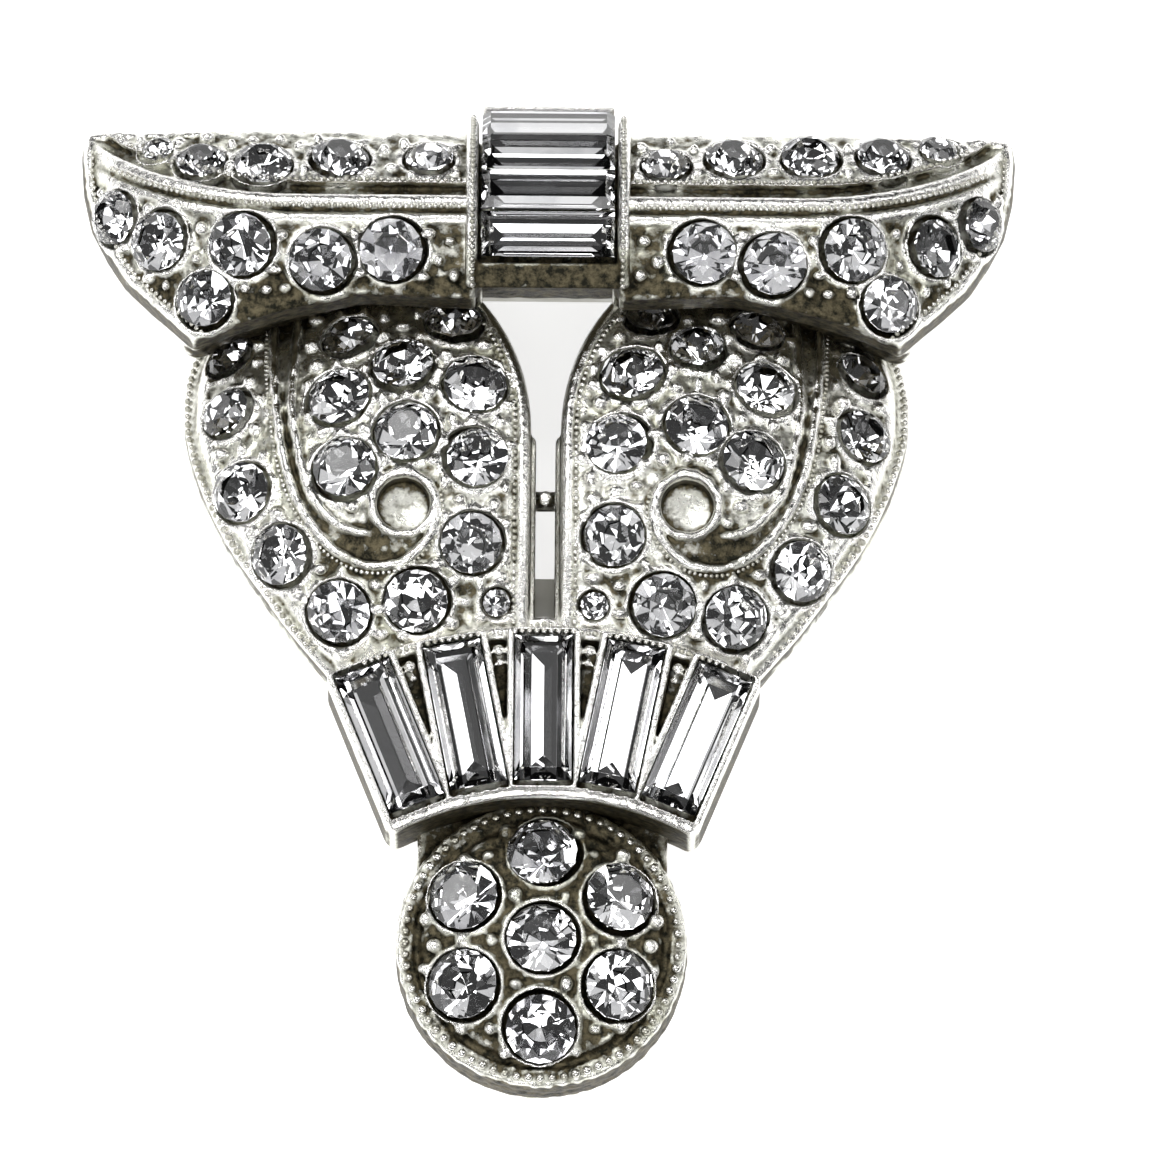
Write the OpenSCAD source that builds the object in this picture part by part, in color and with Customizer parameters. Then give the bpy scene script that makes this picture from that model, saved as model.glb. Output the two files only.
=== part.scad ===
// Dress clip with clear rhinestones: a cast front of two rolled wings, two
// scrolled lobes, a fan of baguettes and a domed disc, with a clip behind.
// It lies on the clip's flat tongue: front up (+Z), wings away (+Y).

/* [Wings] */
// Half of the clip's width, to a wing's tip
wing_tip_x = 22.2; // [21:0.1:23.5]
// Height of the wings' front face above the surface it lies on
wing_z = 12; // [11.6:0.1:12.6]
// Distance from the middle where a wing starts to roll back
wing_roll_start = 12; // [11:0.5:13]
// Radius of the roll at a wing's end
wing_roll_r = 12; // [11.5:0.5:14]
// Lean of the wings' front face towards the disc, in degrees
front_lean = 5; // [3:1:7]
// Slope of the wings' top strip, in degrees
top_slope = 40; // [36:1:44]
// Downward thickness of the wings' metal
wing_wall = 2.4; // [2.2:0.1:2.6]

/* [Lobes] */
// Radius of the sphere that each lobe is part of
lobe_r = 17; // [16:0.5:18]
// Height of a lobe's crown
lobe_z = 11; // [10.8:0.1:11.2]
// Thickness of the lobes' metal
lobe_wall = 1.9; // [1.7:0.1:2]
// Width of the slot between the lobes
slot_w = 1.4; // [1.2:0.1:1.6]

/* [Fan] */
// Length of a fan baguette
baguette_l = 7; // [6.6:0.1:7.2]
// Width of a fan baguette
baguette_w = 2.7; // [2.5:0.05:2.75]
// Angle between two fan baguettes, in degrees
fan_step = 11.2; // [11.1:0.1:11.6]

/* [Disc] */
// Outer radius of the disc
disc_r = 6.85; // [6.6:0.05:6.95]
// Distance of the disc's outer stones from its centre stone
disc_ring_r = 4.2; // [4.1:0.05:4.3]

/* [Stones] */
// Diameter of a lobe stone and of a wing's front stone
stone_d = 3; // [2.8:0.05:3]
// Diameter of a disc stone
disc_stone_d = 3.3; // [3.1:0.05:3.4]
// Diameter of a wing's top stone
top_stone_d = 2.75; // [2.5:0.05:2.8]
// Height of the girdles above the metal round them
stone_lift = 0.25; // [0.2:0.05:0.3]
// Gap between a stone and its seat
seat_gap = 0.06; // [0.04:0.01:0.08]

/* [Clip] */
// Half width of the clip's tongue
tongue_half_w = 7; // [6.5:0.5:8]
// Thickness of the clip's sheet metal
tongue_t = 0.9; // [0.8:0.1:1]
// Number of teeth on the tongue's end
tooth_count = 6; // [4:1:7]

/* [Hidden] */
$fn = 64;

// Places are first measured from a line across the lobes' feet, and are then
// moved by mid_y, which puts the origin under the middle of the whole clip.

// Wings: the ridge between front and top strip, and the outline in plan
ridge_y = 18.8;
wing_top_y = 23.1;
tip_share = 0.35;
wing_inner_x = 3.4;
// columns: x, y along the lower edge, from the barrel out to the tip
WING_EDGE = [
    [3.4, 14.2], [8.8, 14.4], [12.4, 13.6], [15, 12.9], [16.7, 12.3],
    [18.6, 14.1], [20, 15.6], [20.9, 17.1], [21.7, 18.8], [22.1, 20.6],
    [wing_tip_x, 22.2], [22, 23.5]
];
// the wall under the wings' lower edge: its setback, width and foot
skirt_set = 0.6;
skirt_w = 1.2;
skirt_points = 5;
skirt_z = 4;
wing_groove_w = 0.9;
wing_groove_depth = 0.5;

// Barrel: the axis that its baguettes lie round
barrel_y = 16.9;
barrel_z = 4;
barrel_table_r = 8.6;
barrel_first = 2.5;
barrel_step = 16.5;
barrel_count = 4;
barrel_l = 6.3;
barrel_w = 2.2;
// how much wider a barrel pocket is, so that its neighbours meet with no fin
barrel_spare = 0.1;
flange_x = 3.9;
flange_t = 0.65;
flange_r = 8.4;
flange_start = -16;
flange_end = 56;
barrel_floor_r = 5.6;
// the lip behind the last baguette: its angles, and where the tail under it starts
barrel_lip = [61, 64];
barrel_tail_start = 40;
barrel_tail_top_r = 6.8;
// the bar under the barrel: its front face, foot, depth and end
bar_y = 15.8;
bar_z = 5;
bar_depth = 4.8;
bar_half_l = 4.4;
bar_overlap = 0.3;

// Lobes: the crown of the sphere and the outline in plan
lobe_x = 5.4;
lobe_y = 4.1;
inner_circle_y = 8.2;
inner_circle_r = 11.8;
lobe_top_y = 15.6;
lobe_foot_y = -4.6;
lobe_back_z = 2.2;
// columns: x, y down a lobe's outer edge
LOBE_EDGE = [
    [15, 15.6], [16.5, 13.8], [17.1, 11.8], [17.2, 9.6], [17, 8.2],
    [16.6, 6.7], [16.05, 5.15], [15.35, 3.6], [14.45, 2.05], [13.4, 0.55],
    [12.35, -0.95], [11.15, -2.4], [9.2, -4.6]
];
rim_w = 0.75;
rim_h = 0.35;
scroll_w = 0.7;
scroll_depth = 0.5;
socket = [6.7, 4.4];
socket_d = 2.5;
socket_depth = 1.3;
curl_w = 0.35;
// columns: x, y along the scroll's groove, from under the wing to the curl
SCROLL = [
    [12.45, 15.1], [12.5, 12.6], [12.4, 9.8], [12.05, 7.4], [11.45, 5.2],
    [10.45, 3.5], [9.1, 2.35], [7.6, 2]
];
// columns: x, y, diameter of each stone on the left and on the right lobe
LEFT_LOBE_STONES = [
    [4.45, 13.9, 2.7], [6.8, 11.5, 2.9], [3.4, 10.4, 3], [9.75, 9.8, 3],
    [9.4, 13.1, 2.6], [6.6, 7.9, 3], [3.25, 6.65, 2.9], [9.45, 6.2, 3],
    [3.5, 2.5, 2.9], [6.05, -0.2, 3], [9.65, -0.6, 3], [12.45, 2.2, 2.9],
    [14.3, 5.4, 2.9], [15.1, 9.6, 2.6], [15, 12.7, 2.3], [2.3, -0.2, 1.3]
];
RIGHT_LOBE_STONES = [
    [5, 14.3, 2.5], [7.1, 12.6, 2.5], [4.05, 11.05, 3], [10.3, 10.5, 2.9],
    [10, 13.7, 2.5], [7.1, 8.35, 3], [3.35, 7.4, 2.9], [9.75, 6.7, 3],
    [3.3, 2.9, 2.9], [5.65, -0.3, 3], [9, -0.75, 3], [12.1, 1.6, 2.9],
    [14, 5, 2.9], [15, 8.6, 2.7], [14.9, 12, 2.5], [2.4, -0.3, 1.3]
];

// The slot's flanges and the bridge with its boss
flange_wall = 0.25;
slot_top_y = 8;
slot_foot_y = -1.4;
slot_flange_z = [7.4, 9.6];
bridge_y = 5.2;
bridge_l = 0.9;
bridge_z = [7.6, 8.5];
boss_r = 0.42;
boss_h = 0.3;

// Fan: the point that its baguettes turn about, and their distance from it
fan_y = -24.3;
fan_r = 19;
fan_count = 5;
fan_z = 10.4;
fan_base_z = 9.2;
fan_foot_z = 5.6;
fan_wall = 0.4;
// radii of the arcs along the fan's upper and lower edge, and their height
fan_upper = [22.4, 23.05];
fan_lower = [14.75, 15.6];
fan_arc_z = 10.2;
fan_arc_spare = 6.3;

// Disc: a dome with a flat rim
disc_y = -16.15;
disc_rim_z = 7.6;
disc_crown = 1.5;
disc_foot_z = 5;
disc_wall = 1.9;
disc_rim_w = 0.8;
// the neck that joins disc and fan: half width, upper end and top
neck = [5.9, -9.6, 6.9];

// columns: x, y, diameter of each stone on a wing's front
FRONT_STONES = [
    [7.4, 16.45, stone_d], [10.75, 15.95, stone_d], [14.5, 16.7, stone_d],
    [16.15, 14.25, 2.7], [18.35, 17.2, 2.8], [20.5, 18.75, 2.6]
];
// the same for the stones on the left and on the right wing's top
LEFT_TOP_STONES = [
    [5.65, 21.3, 2.3], [9.85, 21.25, top_stone_d], [13.5, 20.9, top_stone_d],
    [16.45, 21.1, 2.4], [18.5, 21.9, 1.5]
];
RIGHT_TOP_STONES = [
    [5.55, 21, 2.3], [8.8, 21.4, top_stone_d], [12.4, 21.55, top_stone_d],
    [15.85, 21.7, 2.5], [18.45, 22.3, 1.8]
];

// Clip: one plain piece behind the front
tongue_top_y = 19;
tongue_foot_y = -5.2;
tongue_corner = 1.6;
window_half_w = 3.3;
window_y = [3.1, 16.9];
knuckle_r = 2.1;
knuckle_y = 19.1;
knuckle_half_l = 5.5;
foot_half_w = 4.2;
foot_y = [17.2, 20.4];
foot_gap = 0.03;
tooth_z = 5.2;
comb_z = 2.2;

// Stone proportions, as shares of the diameter
table_share = 0.56;
crown_share = 0.17;
star_share = 0.76;
girdle_share = 0.03;
pavilion_share = 0.4;
lower_share = 0.6;
// Baguette proportions, as shares of the width
bag_table_inset = 0.2;
bag_crown = 0.2;
bag_girdle = 0.06;
bag_step = 0.22;
bag_step_inset = 0.16;
bag_pavilion = 0.42;
pit_floor_gap = 0.12;

// The middle of the whole clip, between the barrel's lip and the disc's foot
mid_y = (barrel_y + barrel_table_r * sin(barrel_lip[1]) + disc_y - disc_r) / 2;
sink = 0.5;
tall = 30;
step_x = 1.1;
probe = 0.01;
mirror_side = [-1, 1];

side_name = ["left", "right"];
function lobe_table(s) = s == 0 ? LEFT_LOBE_STONES : RIGHT_LOBE_STONES;
function top_table(s) = s == 0 ? LEFT_TOP_STONES : RIGHT_TOP_STONES;
function numbered(base, n) = [for (i = [1:n]) str(base, i)];
function flat(lists) = [for (l = lists) each l];
NODES = concat(
    ["setting", "clip"],
    numbered("fan_baguette_", fan_count),
    numbered("barrel_baguette_", barrel_count),
    numbered("disc_stone_", 7),
    flat([for (s = side_name) numbered(str(s, "_wing_front_stone_"), len(FRONT_STONES))]),
    flat([for (s = side_name) numbered(str(s, "_wing_top_stone_"), len(top_table(0)))]),
    [for (s = side_name) str(s, "_lobe_stones")]
);
node = "all";

// Heights of the front's surfaces over the plan
function roll(x) = let (d = max(0, abs(x) - wing_roll_start))
    wing_roll_r - sqrt(pow(wing_roll_r, 2) - d * d);
function wing_front_z(x, y) =
    wing_z - (ridge_y - y) * tan(front_lean) - roll(x) / cos(front_lean);
function wing_top_z(x, y) =
    wing_z - (y - ridge_y) * tan(top_slope) - tip_share * roll(x);
function wing_h(x, y) = min(wing_front_z(x, y), wing_top_z(x, y));
function lobe_h(x, y) = lobe_z - lobe_r
    + sqrt(pow(lobe_r, 2) - pow(abs(x) - lobe_x, 2) - pow(y - lobe_y, 2));
disc_dome_r = (pow(disc_r, 2) + pow(disc_crown, 2)) / (2 * disc_crown);
function disc_h(x, y) = disc_rim_z + disc_crown - disc_dome_r
    + sqrt(pow(disc_dome_r, 2) - x * x - pow(y - disc_y, 2));
function height(on, x, y) =
    on == "wing" ? wing_h(x, y) : on == "lobe" ? lobe_h(x, y) : disc_h(x, y);
function slope_x(on, x, y) =
    (height(on, x + probe, y) - height(on, x - probe, y)) / (2 * probe);
function slope_y(on, x, y) =
    (height(on, x, y + probe) - height(on, x, y - probe)) / (2 * probe);

// A smooth curve through a table's points, with steps points to a stretch
function curve_at(p, i, t) = let (
        n = len(p) - 1,
        a = p[max(i - 1, 0)], b = p[i], c = p[min(i + 1, n)], d = p[min(i + 2, n)]
    ) ((2 * b) + (c - a) * t + (2 * a - 5 * b + 4 * c - d) * t * t
        + (3 * b - a - 3 * c + d) * t * t * t) / 2;
function curve(p, steps) = [
    for (i = [0:len(p) - 2], s = [0:steps - 1]) curve_at(p, i, s / steps),
    p[len(p) - 1]
];
function unit(v) = v / norm(v);
function heading(p, i) = unit(p[min(i + 1, len(p) - 1)] - p[max(i - 1, 0)]);
function beside(p, d) = [
    for (i = [0:len(p) - 1]) let (h = heading(p, i)) p[i] + d * [-h[1], h[0]]
];
function reversed(p) = [for (i = [len(p) - 1:-1:0]) p[i]];

// Stands its children on a surface, their Z along the surface's normal
module on_surface(on, x, y, turn = 0) {
    sx = slope_x(on, x, y);
    sy = slope_y(on, x, y);
    translate([x, y, height(on, x, y)])
        rotate([0, atan(norm([sx, sy])), atan2(-sy, -sx)])
            rotate([0, 0, turn]) children();
}

// A round brilliant of diameter d, its girdle's middle at the origin
module chaton(d) {
    r = d / 2;
    rt = r * table_share;
    hc = d * crown_share;
    hg = d * girdle_share / 2;
    hp = d * pavilion_share;
    rs = r * star_share;
    rl = r * lower_share;
    zs = hg + hc * (r - rs * cos(22.5)) / (r - rt);
    zl = -hg - hp * (1 - rl * cos(22.5) / r);
    table = [for (k = [0:7]) [rt * cos(45 * k), rt * sin(45 * k), hg + hc]];
    star = [for (k = [0:7]) [rs * cos(45 * k + 22.5), rs * sin(45 * k + 22.5), zs]];
    upper = [for (k = [0:15]) [r * cos(22.5 * k), r * sin(22.5 * k), hg]];
    lower = [for (k = [0:15]) [r * cos(22.5 * k), r * sin(22.5 * k), -hg]];
    pav = [for (k = [0:7]) [rl * cos(45 * k + 22.5), rl * sin(45 * k + 22.5), zl]];
    points = concat(table, star, upper, lower, pav, [[0, 0, -hg - hp]]);
    // first indices of the rings above, in the same order
    S = 8;
    U = 16;
    L = 32;
    P = 48;
    C = 56;
    faces = concat(
        [[7, 6, 5, 4, 3, 2, 1, 0]],
        [for (k = [0:7]) [k, (k + 1) % 8, S + k]],
        [for (k = [0:7]) [k, S + k, U + 2 * k]],
        [for (k = [0:7]) [k, U + 2 * k, S + (k + 7) % 8]],
        [for (k = [0:7]) [S + k, U + 2 * k + 1, U + 2 * k]],
        [for (k = [0:7]) [S + k, U + (2 * k + 2) % 16, U + 2 * k + 1]],
        [for (k = [0:15]) [U + k, U + (k + 1) % 16, L + k]],
        [for (k = [0:15]) [L + k, U + (k + 1) % 16, L + (k + 1) % 16]],
        [for (k = [0:7]) [L + 2 * k, L + 2 * k + 1, P + k]],
        [for (k = [0:7]) [L + 2 * k + 1, L + (2 * k + 2) % 16, P + k]],
        [for (k = [0:7]) [L + 2 * k, P + k, C]],
        [for (k = [0:7]) [L + 2 * k, C, P + (k + 7) % 8]]
    );
    polyhedron(points, faces, convexity = 4);
}

// A step-cut baguette, l long in X and w wide in Y, its girdle at the origin
module baguette(l, w) {
    function ring(inset, z) = [
        for (c = [[1, 1], [-1, 1], [-1, -1], [1, -1]])
            [c[0] * (l / 2 - inset), c[1] * (w / 2 - inset), z]
    ];
    hg = w * bag_girdle / 2;
    keel = l / 2 - w / 2;
    points = concat(
        ring(w * bag_table_inset, hg + w * bag_crown),
        ring(0, hg),
        ring(0, -hg),
        ring(w * bag_step_inset, -hg - w * bag_step),
        [[keel, 0, -hg - w * bag_pavilion], [-keel, 0, -hg - w * bag_pavilion]]
    );
    faces = concat(
        [[3, 2, 1, 0]],
        [for (g = [0:2], k = [0:3]) [4 * g + k, 4 * g + (k + 1) % 4, 4 * g + 4 + k]],
        [for (g = [0:2], k = [0:3])
            [4 * g + 4 + k, 4 * g + (k + 1) % 4, 4 * g + 4 + (k + 1) % 4]],
        [[12, 13, 17], [12, 17, 16], [13, 14, 17], [14, 15, 16], [14, 16, 17],
            [15, 12, 16]]
    );
    polyhedron(points, faces, convexity = 4);
}

// The pit that a round stone stands in, cut along the surface's normal
module pit(d) {
    depth = d * (pavilion_share + girdle_share / 2) - stone_lift + pit_floor_gap;
    translate([0, 0, -depth]) cylinder(d = d + 2 * seat_gap, h = depth + d / 2);
}

// Where the disc's stones stand: one in the middle and six round it
function disc_place(i) = i == 1 ? [0, disc_y]
    : [0, disc_y] + disc_ring_r * [sin(60 * (i - 2)), cos(60 * (i - 2))];

// Places a fan baguette, or its pocket, with its length pointing to fan_y
module in_fan(i) {
    translate([0, fan_y, fan_z])
        rotate([0, 0, 90 - fan_step * (i - (fan_count + 1) / 2)])
            translate([fan_r, 0, 0]) children();
}

// Places a barrel baguette lying round the barrel's axis
barrel_girdle_r = barrel_table_r - barrel_w * (bag_crown + bag_girdle / 2);
function barrel_angle(i) = barrel_first + barrel_step * (i - 1);
module in_barrel(i) {
    translate([0, barrel_y, barrel_z]) rotate([-barrel_angle(i), 0, 0])
        translate([0, 0, barrel_girdle_r]) children();
}

// The pocket under a baguette's table
function pocket_depth(w) = w * (bag_pavilion + bag_girdle / 2) + pit_floor_gap;
module pocket(l, w) {
    depth = pocket_depth(w);
    translate([-l / 2 - seat_gap, -w / 2 - seat_gap, -depth])
        cube([l + 2 * seat_gap, w + 2 * seat_gap, depth + w]);
}

// The barrel's pockets open into each other, so they are one cut along X
module barrel_pockets() {
    half_l = barrel_l / 2 + seat_gap;
    half_w = (barrel_w + barrel_spare) / 2 + seat_gap;
    depth = pocket_depth(barrel_w);
    translate([-half_l, barrel_y, barrel_z]) rotate([90, 0, 90]) linear_extrude(2 * half_l)
        for (i = [1:barrel_count]) rotate(-barrel_angle(i))
            translate([-half_w, barrel_girdle_r - depth]) square([2 * half_w, depth + barrel_w]);
}

// The solid under the wings' front face or top strip, lowered by drop
roll_steps = [for (i = [-21:21]) i * step_x];
module under_wing(lean, share, drop) {
    translate([0, ridge_y, wing_z - drop]) rotate([lean, 0, 0])
        rotate([90, 0, 0]) translate([0, 0, -tall / 2]) linear_extrude(tall)
            polygon(concat(
                [for (x = roll_steps) [x, -share * roll(x)]],
                [[21 * step_x, -tall], [-21 * step_x, -tall]]
            ));
}
module under_wings(drop) {
    intersection() {
        under_wing(front_lean, 1, drop);
        under_wing(-top_slope, tip_share * cos(top_slope), drop);
    }
}
module wing_plan() {
    polygon(concat(WING_EDGE, [[18, wing_top_y + 0.1], [wing_inner_x, wing_top_y]]));
}
module skirt_plan() {
    low = [for (i = [0:skirt_points - 1]) WING_EDGE[i] + [0, skirt_set]];
    polygon(concat(low, reversed([for (p = low) p + [0, skirt_w]])));
}
module wing() {
    intersection() {
        difference() {
            under_wings(0);
            under_wings(wing_wall);
        }
        linear_extrude(tall) wing_plan();
    }
    intersection() {
        under_wings(0);
        translate([0, 0, skirt_z]) linear_extrude(tall) skirt_plan();
    }
}
// The groove between a wing's front and its top strip follows their ridge
function ridge_at(x) = ridge_y + (roll(x) / cos(front_lean) - tip_share * roll(x))
    / (tan(top_slope) + tan(front_lean));
module wing_groove() {
    line = [for (x = [-step_x / 2:step_x:20.5]) [x, ridge_at(x)]];
    difference() {
        linear_extrude(tall) polygon(concat(
            beside(line, wing_groove_w / 2), reversed(beside(line, -wing_groove_w / 2))
        ));
        under_wings(wing_groove_depth);
    }
}

module lobe_plan(inset = 0) {
    edge = curve(LOBE_EDGE, 2);
    intersection() {
        polygon(concat(beside(edge, -inset), [[0, lobe_foot_y], [0, lobe_top_y]]));
        union() {
            translate([slot_w / 2 + inner_circle_r, inner_circle_y])
                circle(inner_circle_r - inset);
            translate([slot_w / 2 + inset, lobe_foot_y])
                square([inner_circle_r, inner_circle_y - lobe_foot_y]);
        }
        translate([0, lobe_foot_y])
            square([tall, lobe_top_y - lobe_foot_y]);
    }
}
module lobe_prism(inset = 0) {
    translate([0, 0, lobe_back_z]) linear_extrude(tall) lobe_plan(inset);
}
module lobe_ball(r) {
    translate([lobe_x, lobe_y, lobe_z - lobe_r]) sphere(r);
}
module lobe() {
    intersection() {
        difference() {
            lobe_ball(lobe_r);
            lobe_ball(lobe_r - lobe_wall);
        }
        lobe_prism();
    }
    intersection() {
        difference() {
            lobe_ball(lobe_r + rim_h);
            lobe_ball(lobe_r - lobe_wall / 2);
        }
        difference() {
            lobe_prism();
            translate([0, 0, -1]) lobe_prism(rim_w);
        }
    }
    intersection() {
        difference() {
            lobe_ball(lobe_r + rim_h);
            lobe_ball(lobe_r - lobe_wall / 2);
        }
        translate(socket) cylinder(d = socket_d + 2 * curl_w, h = tall);
    }
}
module scroll_groove() {
    line = curve(SCROLL, 3);
    intersection() {
        linear_extrude(tall) polygon(concat(
            beside(line, scroll_w / 2), reversed(beside(line, -scroll_w / 2))
        ));
        difference() {
            lobe_ball(lobe_r + 2 * rim_h);
            lobe_ball(lobe_r - scroll_depth);
        }
    }
}

module slot_parts() {
    for (s = mirror_side)
        scale_x(s) translate([slot_w / 2 - flange_wall, slot_foot_y, slot_flange_z[0]])
            cube([
                flange_wall + sink, slot_top_y - slot_foot_y,
                slot_flange_z[1] - slot_flange_z[0]
            ]);
    translate([-slot_w / 2, bridge_y - bridge_l / 2, bridge_z[0]])
        cube([slot_w, bridge_l, bridge_z[1] - bridge_z[0]]);
    translate([0, bridge_y, bridge_z[1] - sink / 2]) cylinder(r = boss_r, h = boss_h + sink / 2);
}

module barrel() {
    difference() {
        translate([0, barrel_y, barrel_z]) rotate([0, 90, 0]) {
            arc(barrel_floor_r, barrel_girdle_r, flange_start, flange_end, flange_x - flange_t / 2);
            for (s = mirror_side)
                translate([0, 0, s * (flange_x - flange_t / 2)])
                    arc(barrel_floor_r, flange_r, flange_start, flange_end, flange_t / 2);
            barrel_tail();
        }
        barrel_pockets();
    }
    intersection() {
        translate([-bar_half_l, bar_y, bar_z])
            cube([2 * bar_half_l, bar_depth, wing_z - bar_z]);
        translate([-tall / 2, barrel_y, barrel_z]) rotate([0, 90, 0])
            cylinder(r = barrel_floor_r + bar_overlap, h = tall);
    }
}
// The floor under the last baguette, with the lip that stands behind it
module barrel_tail() {
    difference() {
        arc(barrel_floor_r + probe, barrel_table_r, barrel_tail_start, barrel_lip[1], barrel_l / 2);
        arc(barrel_tail_top_r, barrel_table_r + sink, barrel_tail_start - 1, barrel_lip[0], barrel_l);
    }
}

// An arc about the X axis, half_l long to each side, from a to b degrees past +Z
module arc(r_in, r_out, a, b, half_l) {
    translate([0, 0, -half_l]) rotate([0, 0, 180 - b])
        rotate_extrude(angle = b - a) translate([r_in, 0]) square([r_out - r_in, 2 * half_l]);
}

module fan() {
    difference() {
        union() {
            for (i = [1:fan_count]) in_fan(i)
                translate([-baguette_l / 2 - fan_wall, -baguette_w / 2 - fan_wall, fan_foot_z - fan_z])
                    cube([baguette_l + 2 * fan_wall, baguette_w + 2 * fan_wall, fan_z - fan_foot_z]);
            fan_arc([fan_r - baguette_l / 2, fan_r + baguette_l / 2], fan_base_z, 0);
            fan_arc(fan_upper, fan_arc_z, 0);
            fan_arc(fan_lower, fan_arc_z, fan_arc_spare);
        }
        for (i = [1:fan_count]) in_fan(i) pocket(baguette_l, baguette_w);
    }
}

// A band of the fan between two radii, up to height z, spare degrees past its stones
module fan_arc(r, z, spare) {
    reach = (fan_count - 1) / 2 * fan_step + spare;
    translate([0, fan_y, fan_foot_z]) rotate([0, 0, 90 - reach])
        rotate_extrude(angle = 2 * reach)
            translate([r[0], 0]) square([r[1] - r[0], z - fan_foot_z]);
}

module disc() {
    difference() {
        union() {
            intersection() {
                translate([0, disc_y, disc_rim_z + disc_crown - disc_dome_r]) sphere(disc_dome_r);
                translate([0, disc_y, disc_foot_z]) cylinder(r = disc_r - disc_rim_w / 2, h = tall);
            }
            translate([0, disc_y, disc_foot_z]) difference() {
                cylinder(r = disc_r, h = disc_rim_z - disc_foot_z + rim_h);
                translate([0, 0, 1]) cylinder(r = disc_r - disc_rim_w, h = tall);
            }
            translate([-neck[0], disc_y + 2, disc_foot_z])
                cube([2 * neck[0], neck[1] - disc_y - 2, neck[2] - disc_foot_z]);
        }
        translate([0, disc_y, disc_foot_z - 1])
            cylinder(r = disc_r - disc_rim_w - 1, h = disc_rim_z - disc_wall - disc_foot_z + 1);
    }
}

module setting() {
    color([0.8, 0.8, 0.76]) difference() {
        union() {
            for (s = mirror_side) scale_x(s) {
                wing();
                lobe();
            }
            slot_parts();
            barrel();
            fan();
            disc();
        }
        for (s = [0, 1]) scale_x(mirror_side[s]) {
            wing_groove();
            scroll_groove();
            translate([socket[0], socket[1], lobe_h(socket[0], socket[1]) - socket_depth])
                cylinder(d = socket_d, h = tall);
            for (p = FRONT_STONES) on_surface("wing", p[0], p[1]) pit(p[2]);
            for (p = top_table(s)) on_surface("wing", p[0], p[1]) pit(p[2]);
            for (p = lobe_table(s)) on_surface("lobe", p[0], p[1]) pit(p[2]);
        }
        for (i = [1:7]) on_surface("disc", disc_place(i)[0], disc_place(i)[1]) pit(disc_stone_d);
    }
}
// Mirrors its children to the left side for s = -1
module scale_x(s) {
    if (s < 0) mirror([1, 0, 0]) children();
    else children();
}

module clip() {
    color([0.72, 0.72, 0.7]) {
        difference() {
            linear_extrude(tongue_t) union() {
                translate([-tongue_half_w, tongue_foot_y + tongue_corner])
                    square([2 * tongue_half_w, tongue_top_y - tongue_foot_y - tongue_corner - 1]);
                translate([-tongue_half_w + tongue_corner, tongue_foot_y])
                    square([2 * (tongue_half_w - tongue_corner), tongue_corner + sink]);
                for (s = mirror_side)
                    translate([s * (tongue_half_w - tongue_corner), tongue_foot_y + tongue_corner])
                        circle(tongue_corner);
            }
            translate([-window_half_w, window_y[0], -1])
                cube([2 * window_half_w, window_y[1] - window_y[0], tongue_t + 2]);
        }
        translate([-knuckle_half_l, knuckle_y, knuckle_r]) rotate([0, 90, 0])
            cylinder(r = knuckle_r, h = 2 * knuckle_half_l);
        translate([-foot_half_w, foot_y[0], knuckle_r])
            cube([2 * foot_half_w, foot_y[1] - foot_y[0], bar_z - foot_gap - knuckle_r]);
        comb_w = 2 * (tongue_half_w - tongue_corner);
        pitch = comb_w / tooth_count;
        translate([-comb_w / 2, tongue_foot_y + tongue_t, 0]) rotate([90, 0, 0])
            linear_extrude(tongue_t) polygon(concat(
                [[0, 0]],
                flat([for (k = [0:tooth_count - 1])
                    [[k * pitch, comb_z], [(k + 0.5) * pitch, tooth_z]]]),
                [[comb_w, comb_z], [comb_w, 0]]
            ));
    }
}

module stone_on(on, p, turn) {
    color([0.92, 0.93, 0.95]) on_surface(on, p[0], p[1], turn)
        translate([0, 0, stone_lift]) chaton(p[2]);
}
module lobe_stones(s) {
    table = lobe_table(s);
    for (i = [0:len(table) - 1]) stone_on("lobe", table[i], 17 * i);
}

function is_node(name) = node == "all" || node == name;
translate([0, -mid_y, 0]) {
    if (is_node("setting")) setting();
    if (is_node("clip")) clip();
    for (i = [1:fan_count]) if (is_node(str("fan_baguette_", i)))
        color([0.92, 0.93, 0.95]) in_fan(i) baguette(baguette_l, baguette_w);
    for (i = [1:barrel_count]) if (is_node(str("barrel_baguette_", i)))
        color([0.92, 0.93, 0.95]) in_barrel(i) baguette(barrel_l, barrel_w);
    for (i = [1:7]) if (is_node(str("disc_stone_", i)))
        stone_on("disc", concat(disc_place(i), [disc_stone_d]), 13 * i);
    for (s = [0:1]) scale_x(mirror_side[s]) {
        for (i = [1:len(FRONT_STONES)]) if (is_node(str(side_name[s], "_wing_front_stone_", i)))
            stone_on("wing", FRONT_STONES[i - 1], 19 * i);
        for (i = [1:len(top_table(s))]) if (is_node(str(side_name[s], "_wing_top_stone_", i)))
            stone_on("wing", top_table(s)[i - 1], 23 * i);
        if (is_node(str(side_name[s], "_lobe_stones"))) lobe_stones(s);
    }
}
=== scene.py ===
"""The looks of the dress clip: sculpted metal, foil-backed stones, the clip, the floor, lights and camera."""
import math

import bpy
import numpy as np
from mathutils import Euler, Matrix, Vector


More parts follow.
